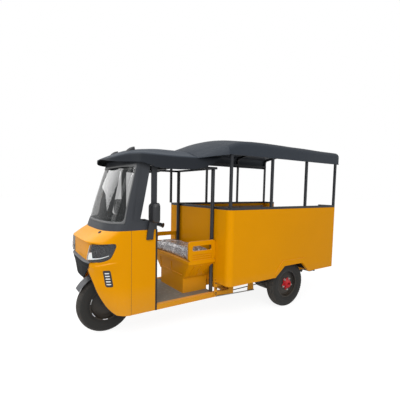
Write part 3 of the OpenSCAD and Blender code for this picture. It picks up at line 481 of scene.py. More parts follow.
def prow(v, turn, depth=0.0):
    """The nose's face: share of the height, turn from the centre line to either seam, depth."""
    c, s = corner(bend_at(v), abs(turn))
    return (SEAM + (REACH * reach_at(v) - depth) * c, copysign((HALF - depth) * s, turn), SILL + v * RISE)


def turn_at_x(v, x):
    n, c = bend_at(v), min(1.0, max(0.0, (x - SEAM) / (REACH * reach_at(v))))
    return atan2((1 - c ** n) ** (1 / n), c) / (pi / 2)


def turn_at_y(v, y):
    n, s = bend_at(v), min(1.0, abs(y) / HALF)
    return copysign(atan2(s, (1 - s ** n) ** (1 / n)) / (pi / 2), y)


def smooth(low, high, q):
    t = min(1.0, max(0.0, (q - low) / (high - low)))
    return t * t * (3 - 2 * t)


def pressed(v, turn):
    """How far the nose is pressed out, along the ledge that runs from the lamps to the cheeks."""
    edge = 0.618 + 0.03 * smooth(0.45, 0.72, abs(turn))
    under = smooth(-0.006, 0.008, edge - v) * (1 - smooth(0.01, 0.16, edge - v))
    return -0.009 * under * smooth(0.40, 0.50, abs(turn)) * (1 - smooth(0.66, 0.86, abs(turn)))


def shell(outer, inner, window=(0, 0, 0, 0)):
    """A closed skin between two grids of points, with one window left open."""
    rows, cols = len(outer), len(outer[0])

    def open_at(i, j):
        inside = 0 <= i < rows - 1 and 0 <= j < cols - 1
        return not inside or (window[0] <= i < window[1] and window[2] <= j < window[3])

    faces = []
    for i in range(rows - 1):
        for j in range(cols - 1):
            if open_at(i, j):
                continue
            ring = [i * cols + j, i * cols + j + 1, (i + 1) * cols + j + 1, (i + 1) * cols + j]
            back = [k + rows * cols for k in ring]
            faces += [ring, back[::-1]]
            for side, beside in enumerate(((i - 1, j), (i, j + 1), (i + 1, j), (i, j - 1))):
                if open_at(*beside):
                    a, b = side, (side + 1) % 4
                    faces.append((ring[b], ring[a], back[a], back[b]))
    return [p for row in outer for p in row] + [p for row in inner for p in row], faces


def spread(low, high, count):
    return [low + (high - low) * k / count for k in range(count + 1)]


LAMP = (  # height share, half width of the inner edge, rear end as a share of the reach
    (0.664, 0.290, 0.66), (0.668, 0.262, 0.62), (0.680, 0.246, 0.536), (0.702, 0.248, 0.447),
    (0.750, 0.262, 0.392), (0.799, 0.276, 0.350), (0.837, 0.286, 0.327), (0.860, 0.292, 0.344),
    (0.866, 0.306, 0.40),
)
LAMP_FOOT, LAMP_H = 0.664, 0.202
lamp_inner, lamp_rear = columns(LAMP)
lamp_heights = [LAMP_FOOT + LAMP_H * (0.5 - 0.5 * cos(pi * k / 22)) for k in range(23)]


def lamp_ends(v):
    return turn_at_y(v, lamp_inner(v)), turn_at_x(v, SEAM + REACH * lamp_rear(v))


def lamp_face(depth_at, grow=0.0, across=30):
    """The lamp's patch of the nose, let out by grow; depth_at takes shares up and across."""
    rows = []
    for i, v in enumerate(lamp_heights):
        up = i / (len(lamp_heights) - 1)
        front, rear = lamp_ends(v)
        v_out = v + grow / RISE * (2 * up - 1)
        rows.append([prow(v_out, front + (rear - front) * b, depth_at(up, b))
                     for b in spread(-4 * grow, 1 + 4 * grow, across)])
    return rows


MARKER_FOOT, MARKER_W, MARKER_H, MARKER_LEAN, MARKER_R = (0.363, 0.360), 0.058, 0.152, 0.032, 0.008


def marker_face(depth, low, high, inset, round_by, steps):
    """A strip of the leaning marker plate between two heights, with rounded ends."""
    rows = []
    for up in spread(low, high, steps):
        rear = SEAM + MARKER_FOOT[0] * REACH + MARKER_LEAN * up / MARKER_H
        v = MARKER_FOOT[1] + up / RISE
        near = round_by - min(up - low, high - up)
        cut = inset + (round_by - (max(round_by ** 2 - near ** 2, 0)) ** 0.5 if near > 0 else 0)
        front, back = turn_at_x(v, rear + MARKER_W - cut), turn_at_x(v, rear + cut)
        rows.append([prow(v, front + (back - front) * b, depth) for b in spread(0, 1, 8)])
    return rows


def marker_slab(front, back, low, high, inset, round_by, steps=14):
    """The same strip as a solid between two depths of the nose."""
    return shell(*(marker_face(depth, low, high, inset, round_by, steps) for depth in (front, back)))


CHEEK = (  # height share, edge of the wheel's mouth as a share of the reach
    (-0.010, 0.235), (0.016, 0.314), (0.081, 0.425), (0.201, 0.551), (0.310, 0.647), (0.419, 0.721),
    (0.529, 0.790), (0.567, 0.807), (0.602, 0.798),
)
cheek_at, = columns(CHEEK)
mouth = [(SEAM + cheek_at(v) * REACH, SILL + v * RISE) for v in spread(CHEEK[0][0], CHEEK[-1][0], 60)]
mouth += [(SEAM + 1.1 * REACH, mouth[-1][1]), (SEAM + 1.1 * REACH, mouth[0][1])]
lamp_hole = shell(lamp_face(lambda up, b: -0.02), lamp_face(lambda up, b: 0.03))
marker_hole = marker_slab(-0.02, 0.02, 0, MARKER_H, 0, MARKER_R)
cutters = [plate(mouth, at(0, -0.45, 0), 0.90)] + both([lamp_hole, marker_hole])


def applied(made):
    """Takes what an object's modifiers make of it as its own mesh."""
    mesh = bpy.data.meshes.new_from_object(made.evaluated_get(bpy.context.evaluated_depsgraph_get()))
    made.modifiers.clear()
    made.data = mesh


heights, turns = [0.0], spread(-1, 1, 150)
for low, high, count in ((0, 0.63, 54), (0.63, 0.69, 18), (0.69, 0.84, 12), (0.84, 0.90, 20), (0.90, 1, 10)):
    heights += spread(low, high, count)[1:]
face = [[prow(v, t, pressed(v, t)) for t in turns] for v in heights]
back = [[prow(v, t, NOSE_T) for t in turns] for v in heights]
nose = piece("nose", [shell(face, back)], body_yellow, stands_for=["nose_shell"])
openings = piece("openings", cutters, body_yellow)
saw = nose.modifiers.new("saw", "BOOLEAN")
saw.operation, saw.object, saw.solver = "DIFFERENCE", openings, "EXACT"
applied(nose)
bpy.data.objects.remove(openings)
settle(nose, 34)

rubber_black = black_plastic("rubber_black", shade(26, 26, 27), 0.55, 900.0)
edge_bead = [prow(v, turn_at_x(v, SEAM + cheek_at(v) * REACH), 0.003) for v in spread(0.001, 0.601, 70)]
seam_bead = [(SEAM, HALF - 0.001, z) for z in spread(SILL + 0.002, SILL + RISE - 0.001, 8)]
piece("nose_edge_beads", both([tube(edge_bead, 0.0042, 10), tube(seam_bead, 0.0016, 8)]),
      rubber_black, crease=60)
plugs = [turned([(0, -0.002), (0.0032, -0.002), (0.0032, 0.0006), (0.0022, 0.0014), (0, 0.0016)],
                at(*prow(v, 0.0, 0.0005), (0, 0, -90)), 16) for v in (0.70, 0.74, 0.78)]
HOOD_PLUG_V, HOOD_PLUG_Y = 0.980, 0.245
cap_seat = prow(HOOD_PLUG_V, turn_at_y(HOOD_PLUG_V, HOOD_PLUG_Y))
plugs.append(turned([(0, -0.004), (0.016, -0.004), (0.016, 0.001), (0.012, 0.004), (0, 0.0055)],
                    at(*cap_seat, (0, 0, -70)) @ Matrix.Rotation(radians(48), 4, "X"), 28))
piece("nose_plugs", plugs, rubber_black)


# Apron under the prow: thin black moulding screwed to the nose, with a grey trim lip
# rolled along its upper edge.
APRON = (  # height share, half width
    (0.426, 0.112), (0.48, 0.150), (0.53, 0.194), (0.567, 0.222), (0.585, 0.237), (0.601, 0.252),
    (0.622, 0.264), (0.646, 0.276), (0.664, 0.288),
)
APRON_FOOT, LIP_FOOT, LIP_TOP = 0.426, 0.642, 0.664
apron_half, = columns(APRON)


def apron_face(low, high, depth_at, steps):
    rows = []
    for v in spread(low, high, steps):
        reach = turn_at_y(v, apron_half(v))
        rows.append([prow(v, reach * t, depth_at(v, t)) for t in spread(-1, 1, 44)])
    return rows


def apron_skin(v, t):
    middle, band = 1 - smooth(0.42, 0.50, abs(t)), smooth(0.445, 0.47, v) * (1 - smooth(0.545, 0.565, v))
    hem = 1 - smooth(APRON_FOOT, APRON_FOOT + 0.008, v)
    return 0.004 * middle * band + 0.003 * hem - 0.003 * smooth(0.585, 0.600, v)


def lip_roll(v, t):
    across = (v - LIP_FOOT) / (LIP_TOP - LIP_FOOT)
    return -0.0062 * (max(0.0, 1 - (2 * across - 1) ** 4)) ** 0.5 - 0.001


def apron_back(v, t):
    return 0.012 - 0.0125 * smooth(0.585, 0.600, v)


def apron_strip(low, high, skin_at, steps):
    """The apron between two heights, from its skin to its back."""
    return [shell(*(apron_face(low, high, depth_at, steps) for depth_at in (skin_at, apron_back)))]


apron_black = black_plastic("apron_black", shade(30, 31, 32), 0.62, shine=0.06)
piece("apron", apron_strip(APRON_FOOT, LIP_FOOT, apron_skin, 36), apron_black,
      stands_for=["nose_apron"])
lip_grey = black_plastic("lip_grey", shade(92, 94, 97), 0.50, shine=0.15)
piece("apron_lip", apron_strip(LIP_FOOT, LIP_TOP, lip_roll, 12), lip_grey)


# Headlamps: smoked lens over a black tray with two projector bowls, clipped into the nose;
# a white light guide is bonded along the lens, an L at its inner and lower edges.
def standing(b):
    """How far the lens stands out of the band, from its inner edge round to the cheek."""
    return 0.019 * (1 - smooth(0.15, 0.80, b))


def lens_bow(up, b):
    rim = min(up, 1 - up, b * 1.4, (1 - b) * 1.4)
    return -0.0032 * smooth(0.0, 0.10, rim) + 0.0015 - standing(b) * smooth(0.0, 0.08, min(up, 1 - up) + 0.02)


def smoked(name, colour, alpha):
    def varied(ink):
        cloud = ink.clouds(14.0, 3.0)
        return {"Base Color": cloud.mottled(colour, 0.8, 1.2), "Roughness": cloud * 0.05 + 0.05}

    return finish(name, {"Alpha": alpha, "Coat Weight": 0.6, "Coat Roughness": 0.03}, varied)


lens_smoke = smoked("lens_smoke", shade(38, 40, 44), 0.62)
piece("lamp_lenses", both([shell(lamp_face(lens_bow), lamp_face(lambda up, b: 0.0045))]),
      lens_smoke, stands_for=["headlamps"])


def tray_hollow(up, b):
    return 0.004 + 0.030 * smooth(0, 0.14, min(up, 1 - up)) * smooth(0, 0.10, min(b, 1 - b))


tray = shell(lamp_face(tray_hollow, -0.001), lamp_face(lambda up, b: 0.038, -0.001))
piece("lamp_trays", both([tray]), dark_moulding)
chrome = bright_zinc("chrome", shade(205, 206, 208))
bowls = []
for b, up, size in ((0.22, 0.56, 0.034), (0.50, 0.60, 0.030)):
    v = LAMP_FOOT + LAMP_H * up
    front, rear = lamp_ends(v)
    aim = at(*prow(v, front + (rear - front) * b, 0.030), (0, 0, -90 + 52 * b))
    bowl = [(0, -0.004), (size, 0.002), (size + 0.003, 0.018), (size, 0.018), (size - 0.004, 0.008),
            (0.55 * size, 0.002), (0, 0.0)]
    bulb = [(0, -0.002), (0.42 * size, 0.0), (0.42 * size, 0.008), (0.3 * size, 0.014), (0, 0.016)]
    bowls += [turned(bowl, aim, 36), turned(bulb, aim, 28)]
piece("lamp_bowls", both(bowls), chrome)
trim_line = [prow(v, turn_at_y(v, lamp_inner(v) - 0.001), -0.019) for v in spread(0.690, 0.856, 24)]
piece("lamp_trims", both([tube(trim_line, 0.003, 10)]), chrome, crease=60)

GUIDE = (  # turn at the lower and upper edge, height share of the lower and upper edge
    (0.402, 0.430, 0.692, 0.774), (0.466, 0.472, 0.699, 0.782), (0.473, 0.478, 0.700, 0.718),
    (0.495, 0.498, 0.703, 0.717), (0.540, 0.540, 0.707, 0.719), (0.578, 0.578, 0.711, 0.722),
    (0.625, 0.625, 0.722, 0.732), (0.661, 0.661, 0.733, 0.741),
)


def guide_face(depth_at):
    """The light guide's own patch; depth_at takes the share of the way across it."""
    rows = []
    for e in spread(0, 1, 6):
        row = []
        for near, far in zip(GUIDE[:-1], GUIDE[1:]):
            for t in spread(0, 1, 8)[:-1] if far is not GUIDE[-1] else spread(0, 1, 8):
                turn_low, turn_high, low, high = (a + (b - a) * t for a, b in zip(near, far))
                v, turn = low + (high - low) * e, turn_low + (turn_high - turn_low) * e
                front, rear = lamp_ends(v)
                row.append(prow(v, turn, depth_at(e) - standing((turn - front) / (rear - front))))
        rows.append(row)
    return rows


def white_acrylic(name):
    def varied(ink):
        cloud = ink.clouds(30.0, 2.0)
        return {
            "Base Color": cloud.tone(shade(196, 194, 196), shade(214, 213, 214)),
            "Roughness": cloud * 0.1 + 0.2,
        }

    return finish(name, {"Coat Weight": 0.4, "Subsurface Weight": 0.1}, varied)


acrylic = white_acrylic("white_acrylic")


def guide_bow(e):
    return -0.0045 - 0.0028 * (1 - (2 * e - 1) ** 4) ** 0.5


BAR_PITCH, BAR_H = 0.0245, 0.010
light_bars = [shell(guide_face(guide_bow), guide_face(lambda e: -0.0040))]
for i in range(-2, 3):
    foot = MARKER_H / 2 + i * BAR_PITCH - BAR_H / 2
    light_bars.append(marker_slab(-0.0055, -0.0020, foot, foot + BAR_H, 0.013, 0.002, 8))
piece("light_guides", both(light_bars), acrylic, stands_for=["light_bars"])
marker_plate = marker_slab(-0.002, 0.012, 0.001, MARKER_H - 0.001, 0.001, MARKER_R)
piece("marker_lamps", both([marker_plate]), dark_moulding, stands_for=["marker_plates"])


# Flat cab sides: folded sheet in body yellow, welded to the sills behind the nose seam and
# edged at the door with a rubber channel.
dress("cab_side_panels", body_yellow, 0.003)
DOOR_X = FRONT_X - 0.350
channel = []
for z in spread(SILL, SILL + RISE, 30):
    channel.append([(DOOR_X + x, HALF + y, z) for x, y in
                    ((0.012, 0.0), (0.012, 0.0022), (-0.004, 0.0022), (-0.005, 0.0), (-0.005, -0.020),
                     (-0.004, -0.0205), (0.012, -0.0205), (0.012, -0.0185))])
inside = [[(x + (0.0004 if x > DOOR_X else 0.0012), y + (-0.0008 if y > HALF - 0.01 else 0.0008), z)
           for x, y, z in row] for row in channel]
piece("door_edge_rubbers", both([shell(channel, inside)]), rubber_black)


# Windscreen surround: slate-grey moulding that carries the screen, broad at the pillars,
# bolted down over the nose's rear edge with a band along the foot.
BELT, BAND_TOP, SCREEN_TOP, GLASS_FOOT, GLASS_TOP = 0.985, 1.063, 1.585, 1.043, 1.543
SCREEN = (  # height, crease where the side turns, prow as shares of the nose's reach, exponent
    (0.985, 0, 0.563, 3.2), (1.063, -0.02, 0.499, 3.1), (1.159, -0.044, 0.432, 3.0),
    (1.381, -0.133, 0.252, 2.8), (1.585, -0.212, 0.069, 2.6),
)
crease_at, screen_reach, screen_bend = columns(SCREEN)
PILLAR_REAR = ((0.985, -0.5926), (1.063, -0.5926), (1.0635, -0.272), (1.087, -0.207), (1.159, -0.247),
               (1.381, -0.356), (1.585, -0.449))


def screen(z, turn, depth=0.0):
    """The surround's face: turn 0 at the middle, 1 at the crease, and on to 2 at the rear edge."""
    crease = SEAM + REACH * crease_at(z)
    c, s = corner(screen_bend(z), min(abs(turn), 1.0))
    rear = SEAM + REACH * float(np.interp(z, [p[0] for p in PILLAR_REAR], [p[1] for p in PILLAR_REAR]))
    ahead = (SEAM + REACH * screen_reach(z) - depth - crease) * c
    x = crease + ahead - (crease - rear) * max(abs(turn) - 1, 0)
    return (x, copysign((HALF - depth) * s, turn), z)


def glass_edge(z):
    n, t = screen_bend(z), radians(90 * 0.76 / 0.84)
    return atan2(sin(t) ** (2 / n), cos(t) ** (2 / n)) / (pi / 2)


screen_heights = (spread(BELT, GLASS_FOOT, 6) + [1.0525, BAND_TOP, 1.0635, 1.070, 1.078]
                  + spread(1.087, GLASS_TOP, 26) + spread(GLASS_TOP, SCREEN_TOP, 5)[1:])
foot_row, top_row = screen_heights.index(GLASS_FOOT), screen_heights.index(GLASS_TOP)
ACROSS, PILLAR_STEPS = 64, 12


def surround_face(depth):
    rows = []
    for z in screen_heights:
        edge = glass_edge(z)
        pillar = [edge + (1 - edge) * t for t in (0.25, 0.5, 0.75, 1.0)] + spread(1, 2, 8)[1:]
        turns = [-t for t in reversed(pillar)] + [edge * t for t in spread(-1, 1, ACROSS)] + pillar
        set_in = 0.003 if z > BAND_TOP and depth < 0.01 else 0.0
        rows.append([screen(z, t, depth + set_in * smooth(1.0, 1.12, abs(t))) for t in turns])
    return rows


slate = black_plastic("slate_moulding", shade(42, 45, 50), 0.44)
window = (foot_row, top_row, PILLAR_STEPS, PILLAR_STEPS + ACROSS)
piece("screen_surround", [shell(surround_face(0.0), surround_face(0.014), window)], slate,
      stands_for=["windscreen_surround"])


# Windscreen: one bent sheet of lightly tinted laminated glass, pressed into a grey rubber
# seal that grips the surround's opening.
def screen_glass(name, colour, alpha):
    def varied(ink):
        cloud = ink.clouds(7.0, 5.0, 0.6)
        film = ink.node("ValToRGB", {"stops": [(0.45, (0, 0, 0, 1)), (0.75, (1, 1, 1, 1))]}, {0: cloud})
        return {"Base Color": cloud.mottled(colour, 0.9, 1.1), "Roughness": film * 0.10 + 0.03}

    plain = {"Alpha": alpha, "Specular IOR Level": 0.6, "Coat Weight": 0.5, "Coat Roughness": 0.02}
    return finish(name, plain, varied)


glass_heights = spread(GLASS_FOOT + 0.0004, GLASS_TOP - 0.0004, 24)


def pane(depth):
    return [[screen(z, glass_edge(z) * 0.998 * t, depth) for t in spread(-1, 1, 56)] for z in glass_heights]


tinted = screen_glass("tinted_glass", shade(34, 37, 37), 0.38)
piece("windscreen", [shell(pane(0.003), pane(0.008))], tinted, stands_for=["windscreen_glass"])


def rounded(width, height, radius, steps):
    """The outline of a rectangle with round corners, about its middle."""
    outline = []
    for sx, sz, start in ((1, 1, 0), (-1, 1, 90), (-1, -1, 180), (1, -1, 270)):
        cx, cz = sx * (width / 2 - radius), sz * (height / 2 - radius)
        for a in spread(radians(start), radians(start + 90), steps):
            outline.append((cx + radius * cos(a), cz + radius * sin(a)))
    return outline


def walked(line, count):
    """The points of a line at even steps along it."""
    lengths = [0.0]
    for (x0, z0), (x1, z1) in zip(line[:-1], line[1:]):
        lengths.append(lengths[-1] + hypot(x1 - x0, z1 - z0))
    steps = spread(0, lengths[-1], count)
    return list(zip(*(np.interp(steps, lengths, [p[i] for p in line]) for i in (0, 1))))


PANE_HALF, SEAL_STEPS = 0.40, 160
SEAL = (  # inset from the pane's edge, corner radius, depth
    (0.001, 0.006, 0.0024), (0.004, 0.010, 0.0004), (0.016, 0.030, 0.0004), (0.020, 0.034, 0.0028),
)


def seal_line(inset, radius, depth):
    """One line of the seal, once round the pane."""
    outline = rounded(2 * (PANE_HALF - inset), GLASS_TOP - GLASS_FOOT - 2 * inset, radius, 8)
    line = []
    for x, up in walked(outline + outline[:1], SEAL_STEPS)[:-1]:
        z = (GLASS_FOOT + GLASS_TOP) / 2 + up
        line.append(screen(z, glass_edge(z) * x / PANE_HALF, depth))
    return line


seal_grey = black_plastic("seal_grey", shade(86, 87, 88), 0.5, 800.0)
seal = [p for row in SEAL for p in seal_line(*row)], skin(len(SEAL), SEAL_STEPS, True)
piece("screen_seal", [seal], seal_grey, crease=40)


# Instrument shelf: black moulding behind the screen's foot, with one round dial in a hooded
# pod and two round vents.
DASH_Z, DASH_T, DASH_BACK = 1.030, 0.030, SEAM - 0.060


def shelf(depth_z, inset):
    rows = []
    for t in spread(-1, 1, 48):
        fx, fy, _ = screen(DASH_Z, glass_edge(DASH_Z) * t * 0.998, 0.0145 + inset)
        row = []
        for k in spread(0, 1, 14):
            x = fx + (DASH_BACK + inset - fx) * k
            row.append((x, fy, DASH_Z + depth_z + (0.010 * sin(pi * k) if depth_z >= -0.001 else 0)))
        rows.append(row)
    return rows


piece("dash_shelf", [shell(shelf(0.0, 0.0), shelf(-DASH_T, 0.004))], dark_moulding,
      stands_for=["dashboard"])
DIAL_LEAN, VENT_Y = (90, -28, 0), 0.190
dial_at = at(SEAM + 0.040, 0, DASH_Z + 0.004, DIAL_LEAN)
hood = turned([(0.050, 0.018), (0.054, 0.026), (0.060, 0.028), (0.062, 0.020), (0.058, 0.0), (0.0, 0.0),
               (0.0, 0.012), (0.048, 0.012)], dial_at, 56)
vents = [turned([(0.0, 0.0), (0.034, 0.0), (0.034, 0.010), (0.028, 0.014), (0.024, 0.010), (0.0, 0.008)],
                at(SEAM + 0.030, s * VENT_Y, DASH_Z + 0.004, DIAL_LEAN), 40) for s in (-1, 1)]
piece("dash_pod", [hood] + vents, dark_moulding)


def dial_mark(outline, degrees, lift, thick):
    place = dial_at @ Matrix.Rotation(radians(degrees), 4, "Y") @ Matrix.Translation((0, lift, 0))
    return plate(outline, place, thick)


ticks = []
for k in range(21):
    inner = 0.036 if k % 5 == 0 else 0.041
    bar = [(inner, -0.0009), (0.046, -0.0009), (0.046, 0.0009), (inner, 0.0009)]
    ticks.append(dial_mark(bar, 40 - 13 * k, 0.0118, 0.0008))
needle = [(-0.008, -0.0016), (0.038, -0.0006), (0.038, 0.0006), (-0.008, 0.0016)]
ticks.append(dial_mark(needle, 30, 0.0135, 0.0012))
piece("dial_marks", ticks, acrylic)


# Door posts, roof frame, partition posts, rail, canopy posts and bows: square and round steel
# tube, welded at the joints and painted black.
tube_black = chassis_black("tube_black", shade(36, 38, 42), 0.32)
dress("door_posts cab_roof_frame partition_posts top_rail canopy_posts canopy_bows", tube_black, 0.0025)


# Cab roof: slate-grey moulding with a turned-down edge and a visor over the screen,
# screwed to pads on the roof frame; two small lamps sit behind the visor's brow.
ROOF_REAR, ROOF_LEN, ROOF_RISE = FRONT_X - 1.002, 1.040, 0.144
ROOF = (  # share along from the rear; half width of the cab's, lower edge, shoulder, crown
    (0, 1.144, 0.38, 0.53, 0.78), (0.108, 1.149, -0.08, 0.44, 0.90), (0.271, 1.149, -0.40, 0.40, 0.99),
    (0.483, 1.149, -0.49, 0.38, 1), (0.656, 1.138, -0.42, 0.40, 0.90), (0.790, 1.106, -0.17, 0.42, 0.73),
    (0.858, 1.009, -0.16, 0.38, 0.58), (0.925, 0.805, -0.15, 0.27, 0.40), (0.975, 0.537, -0.08, 0.15, 0.24),
    (1, 0.188, 0.02, 0.10, 0.15),
)
roof_half, roof_low, roof_shoulder, roof_crown = columns(ROOF)


def arc(radius, steps):
    """A quarter round, from its side to its top."""
    return [(radius * cos(a), radius * sin(a)) for a in spread(0, pi / 2, steps)]


def roof_line(share, depth):
    """One section of the roof, from its left hem over the crown to its right hem."""
    hw = roof_half(share) * HALF - depth
    low, shoulder, crown = (SCREEN_TOP + f(share) * ROOF_RISE for f in (roof_low, roof_shoulder, roof_crown))
    r = min(0.022, (shoulder - low) / 2)
    flat = hw - r
    left = [(hw, low + (shoulder - r - low) * k / 4) for k in range(4)]
    left += [(flat + y, shoulder - depth - r + z) for y, z in arc(r, 6)]
    panel = 0.006 * smooth(0.03, 0.10, share) * (1 - smooth(0.80, 0.92, share))
    for y in spread(flat, 0, 26)[1:]:
        raised = panel * (1 - smooth(0.70, 0.80, y / flat))
        left.append((y, crown - depth + raised - 0.006 - (crown - 0.006 - shoulder) * (y / flat) ** 2))
    x = ROOF_REAR + share * ROOF_LEN
    return [(x, y, z) for y, z in left] + [(x, -y, z) for y, z in left[-2::-1]]


roof_shares = spread(0, 0.79, 44) + spread(0.79, 1, 34)[1:]


def painted_top_light(name, colour, top_lit_colour):
    def varied(ink):
        cloud = ink.clouds(5.0, 4.0)
        # Painted light and shade: faces that look up are toned to the paler colour, the sides keep the darker
        # one.
        return {
            "Base Color": (ink.facing_up() * 1.3 - 0.2 + cloud * 0.2).held().tone(colour, top_lit_colour),
            "Roughness": cloud * 0.14 + 0.48,
            "Normal": ink.raised(ink.clouds(520.0, 2.0), 0.12),
        }

    return finish(name, {"Specular IOR Level": 0.22}, varied)


roof_slate = painted_top_light("roof_slate", shade(27, 31, 37), shade(55, 61, 69))
roof_skins = [[roof_line(s, depth) for s in roof_shares] for depth in (0.0, 0.006)]
piece("cab_roof", [shell(*roof_skins)], roof_slate, stands_for=["cab_canopy"], crease=50)
ROOF_LAMP_Y, ROOF_LAMP_SUNK, ROOF_LAMP_SIZE = 0.210, 0.012, 0.030
humps = []
for t in spread(0, 1, 8):
    width, high = ROOF_LAMP_SIZE * (1 - 0.35 * t), ROOF_LAMP_SIZE * (1 - (1 - t) ** 3)
    x = FRONT_X - 0.115 - 0.085 * t
    drop = (ROOF_LAMP_Y / HALF / 1.1) ** 2 * 0.35 * ROOF_RISE
    foot = SCREEN_TOP + ROOF_RISE * roof_crown((x - ROOF_REAR) / ROOF_LEN) - drop - ROOF_LAMP_SUNK
    humps.append([(x, ROOF_LAMP_Y + width * cos(a), foot + (high + ROOF_LAMP_SUNK) * max(0, sin(a)))
                  for a in spread(0, pi, 12)])
inner_top = humps[0][0][2] + 0.002
hump_inner = [[(x, ROOF_LAMP_Y + (y - ROOF_LAMP_Y) * 0.4, min(z, inner_top)) for x, y, z in row]
              for row in humps]
piece("roof_marker_lamps", both([shell(humps, hump_inner)]), dark_moulding,
      stands_for=["roof_lamps"])


# Door mirrors: black moulded head on a broad arm, screwed to the corner of the cab side,
# with a silvered glass clipped into its rear face.
MIRROR_X, MIRROR_Y, MIRROR_Z, MIRROR_W, MIRROR_H = DOOR_X + 0.040, 0.4425, 1.137, 0.132, 0.172
MIRROR_HEAD = (  # depth from the glass side, share of the full size
    (0.003, 0.93), (0.0, 0.96), (0.001, 0.99), (0.005, 1.0), (0.018, 0.995), (0.032, 0.96), (0.044, 0.90),
    (0.053, 0.79), (0.0573, 0.58), (0.058, 0.2),
)


def mirror_ring(depth, width, height, radius):
    return [(MIRROR_X + depth, MIRROR_Y + y, MIRROR_Z + z) for y, z in rounded(width, height, radius, 8)]


head = [mirror_ring(x, MIRROR_W * size, MIRROR_H - 0.112 * (1 - size), 0.038 * size)
        for x, size in MIRROR_HEAD]
ARM_FOOT, ARM_RISE = 0.899, 0.166
arm = []
for t in spread(0, 1, 16):
    bend = smooth(0, 1, t)
    arm.append([(MIRROR_X + 0.033 - 0.006 * t + x, HALF + 0.007 + 0.020 * bend + y, ARM_FOOT + ARM_RISE * t)
                for x, y in rounded(0.066 - 0.016 * t, 0.014 + 0.022 * bend, 0.006, 4)])
piece("mirror_heads", both([lofted(head), lofted(arm)]), dark_moulding,
      stands_for=["mirrors"])
mirror_face = [mirror_ring(x, 0.120 * size, 0.060 + 0.100 * size, 0.032)
               for x, size in ((0.0034, 0.96), (0.0016, 0.955), (0.0016, 0.5))]
silvered = bright_zinc("silvered", shade(214, 217, 218))
piece("mirror_glass", both([lofted(mirror_face)]), silvered)


# Driver's bench: plinth, flared pan and arm frames pressed from sheet and spot-welded,
# in body yellow; the battery stands inside the plinth.
dress("seat_base", body_yellow, 0.004)
battery_case = black_plastic("battery_case", shade(40, 42, 44), 0.5)
dress("battery_block", battery_case, 0.004)


# Driver's cushion: foam in a mottled grey-brown cover, still under its clear wrapping film,
# which is creased and shiny.
BLOW, BLOW_FRAMES = 4.0, 20


def blown(pad):
    """Where the points of a cover come to rest when it is blown up by cloth simulation."""
    cloth = pad.modifiers.new("cloth", "CLOTH")
    cloth.settings.use_pressure = True
    cloth.settings.uniform_pressure_force = BLOW
    cloth.settings.quality = 4
    cloth.settings.effector_weights.gravity = 0.0
    for number in range(1, BLOW_FRAMES + 1):
        bpy.context.scene.frame_set(number)
    cover = pad.evaluated_get(bpy.context.evaluated_depsgraph_get()).to_mesh()
    spots = np.array([v.co for v in cover.vertices])
    pad.modifiers.clear()
    bpy.context.scene.frame_set(1)
    return spots


def stuffed(name, low, high, grain, cap, coat, node, sewn, squeeze):
    """Foam in a sewn cover: a slightly small block, blown up by cap at most, then sewn."""
    low, high = Vector(low), Vector(high)
    work = bmesh.new()
    bmesh.ops.create_cube(work, size=1.0)
    size, middle = high - low - 2 * Vector(squeeze), (low + high) / 2
    for vert in work.verts:
        vert.co = middle + Vector(a * b for a, b in zip(vert.co, size))
    bmesh.ops.bevel(work, geom=work.edges[:], offset=0.016, segments=3, profile=0.6, affect="EDGES")
    mesh = bpy.data.meshes.new(name)
    work.to_mesh(mesh)
    work.free()
    pad = placed(name, mesh)
    remesh = pad.modifiers.new("remesh", "REMESH")
    remesh.mode, remesh.voxel_size = "VOXEL", grain
    applied(pad)
    rest = np.array([v.co for v in pad.data.vertices])
    step = blown(pad) - rest
    length = np.linalg.norm(step, axis=1, keepdims=True)
    rest = rest + step * np.minimum(1.0, cap / np.maximum(length, 1e-9))
    rest = np.minimum(np.maximum(rest, np.array(low)), np.array(high) + np.array((0.004, 0.004, 0.012)))
    pad.data.vertices.foreach_set("co", rest.astype(np.float32).ravel())
    finer = pad.modifiers.new("finer", "SUBSURF")
    finer.levels = finer.render_levels = 1
    applied(pad)
    verts = pad.data.vertices
    spots, leans = np.empty(3 * len(verts), np.float32), np.empty(3 * len(verts), np.float32)
    verts.foreach_get("co", spots)
    verts.foreach_get("normal", leans)
    pairs = zip(spots.reshape(-1, 3), leans.reshape(-1, 3))
    verts.foreach_set("co", np.array([sewn(Vector(p), Vector(n)) for p, n in pairs], np.float32).ravel())
    pad.data.materials.clear()
    pad.data.materials.append(coat)
    pad.data.shade_smooth()
    fixed(pad, stands_for=[node])
    return pad


def wrapped_cover(name):
    def varied(ink):
        place = ink.place()
        patch = ink.clouds(25.0, 6.0, 0.62)
        grain = ink.node("TexVoronoi", {}, {"Vector": place, "Scale": 70.0})
        ramp = [(0.36, shade(34, 34, 42)), (0.46, shade(150, 146, 148)), (0.53, shade(78, 76, 82)),
                (0.60, shade(222, 219, 219)), (0.72, shade(128, 123, 124))]
        crease = ink.node("TexNoise", {}, {"Vector": place, "Scale": 42.0, "Detail": 5.0, "Distortion": 1.6})
        # Painted highlight: white flecks on the film's creases, mixed into the base colour.
        painted_glint = ink.node("ValToRGB", {"stops": [(0.50, (0, 0, 0, 1)), (0.60, (1, 1, 1, 1))]}, {0: crease})
        cover = ink.node("ValToRGB", {"stops": ramp}, {0: patch * 0.8 + grain * 0.2})
        return {
            "Base Color": (painted_glint * 0.28).tone(cover, shade(226, 226, 230)),
            "Roughness": patch * 0.12 + 0.10,
            "Normal": ink.raised(crease, 0.55, 0.006),
        }

    return finish(name, {"Specular IOR Level": 0.4, "Coat Weight": 0.35, "Coat Roughness": 0.08}, varied)


FILM_LOW, FILM_HIGH = 0.652, 0.668


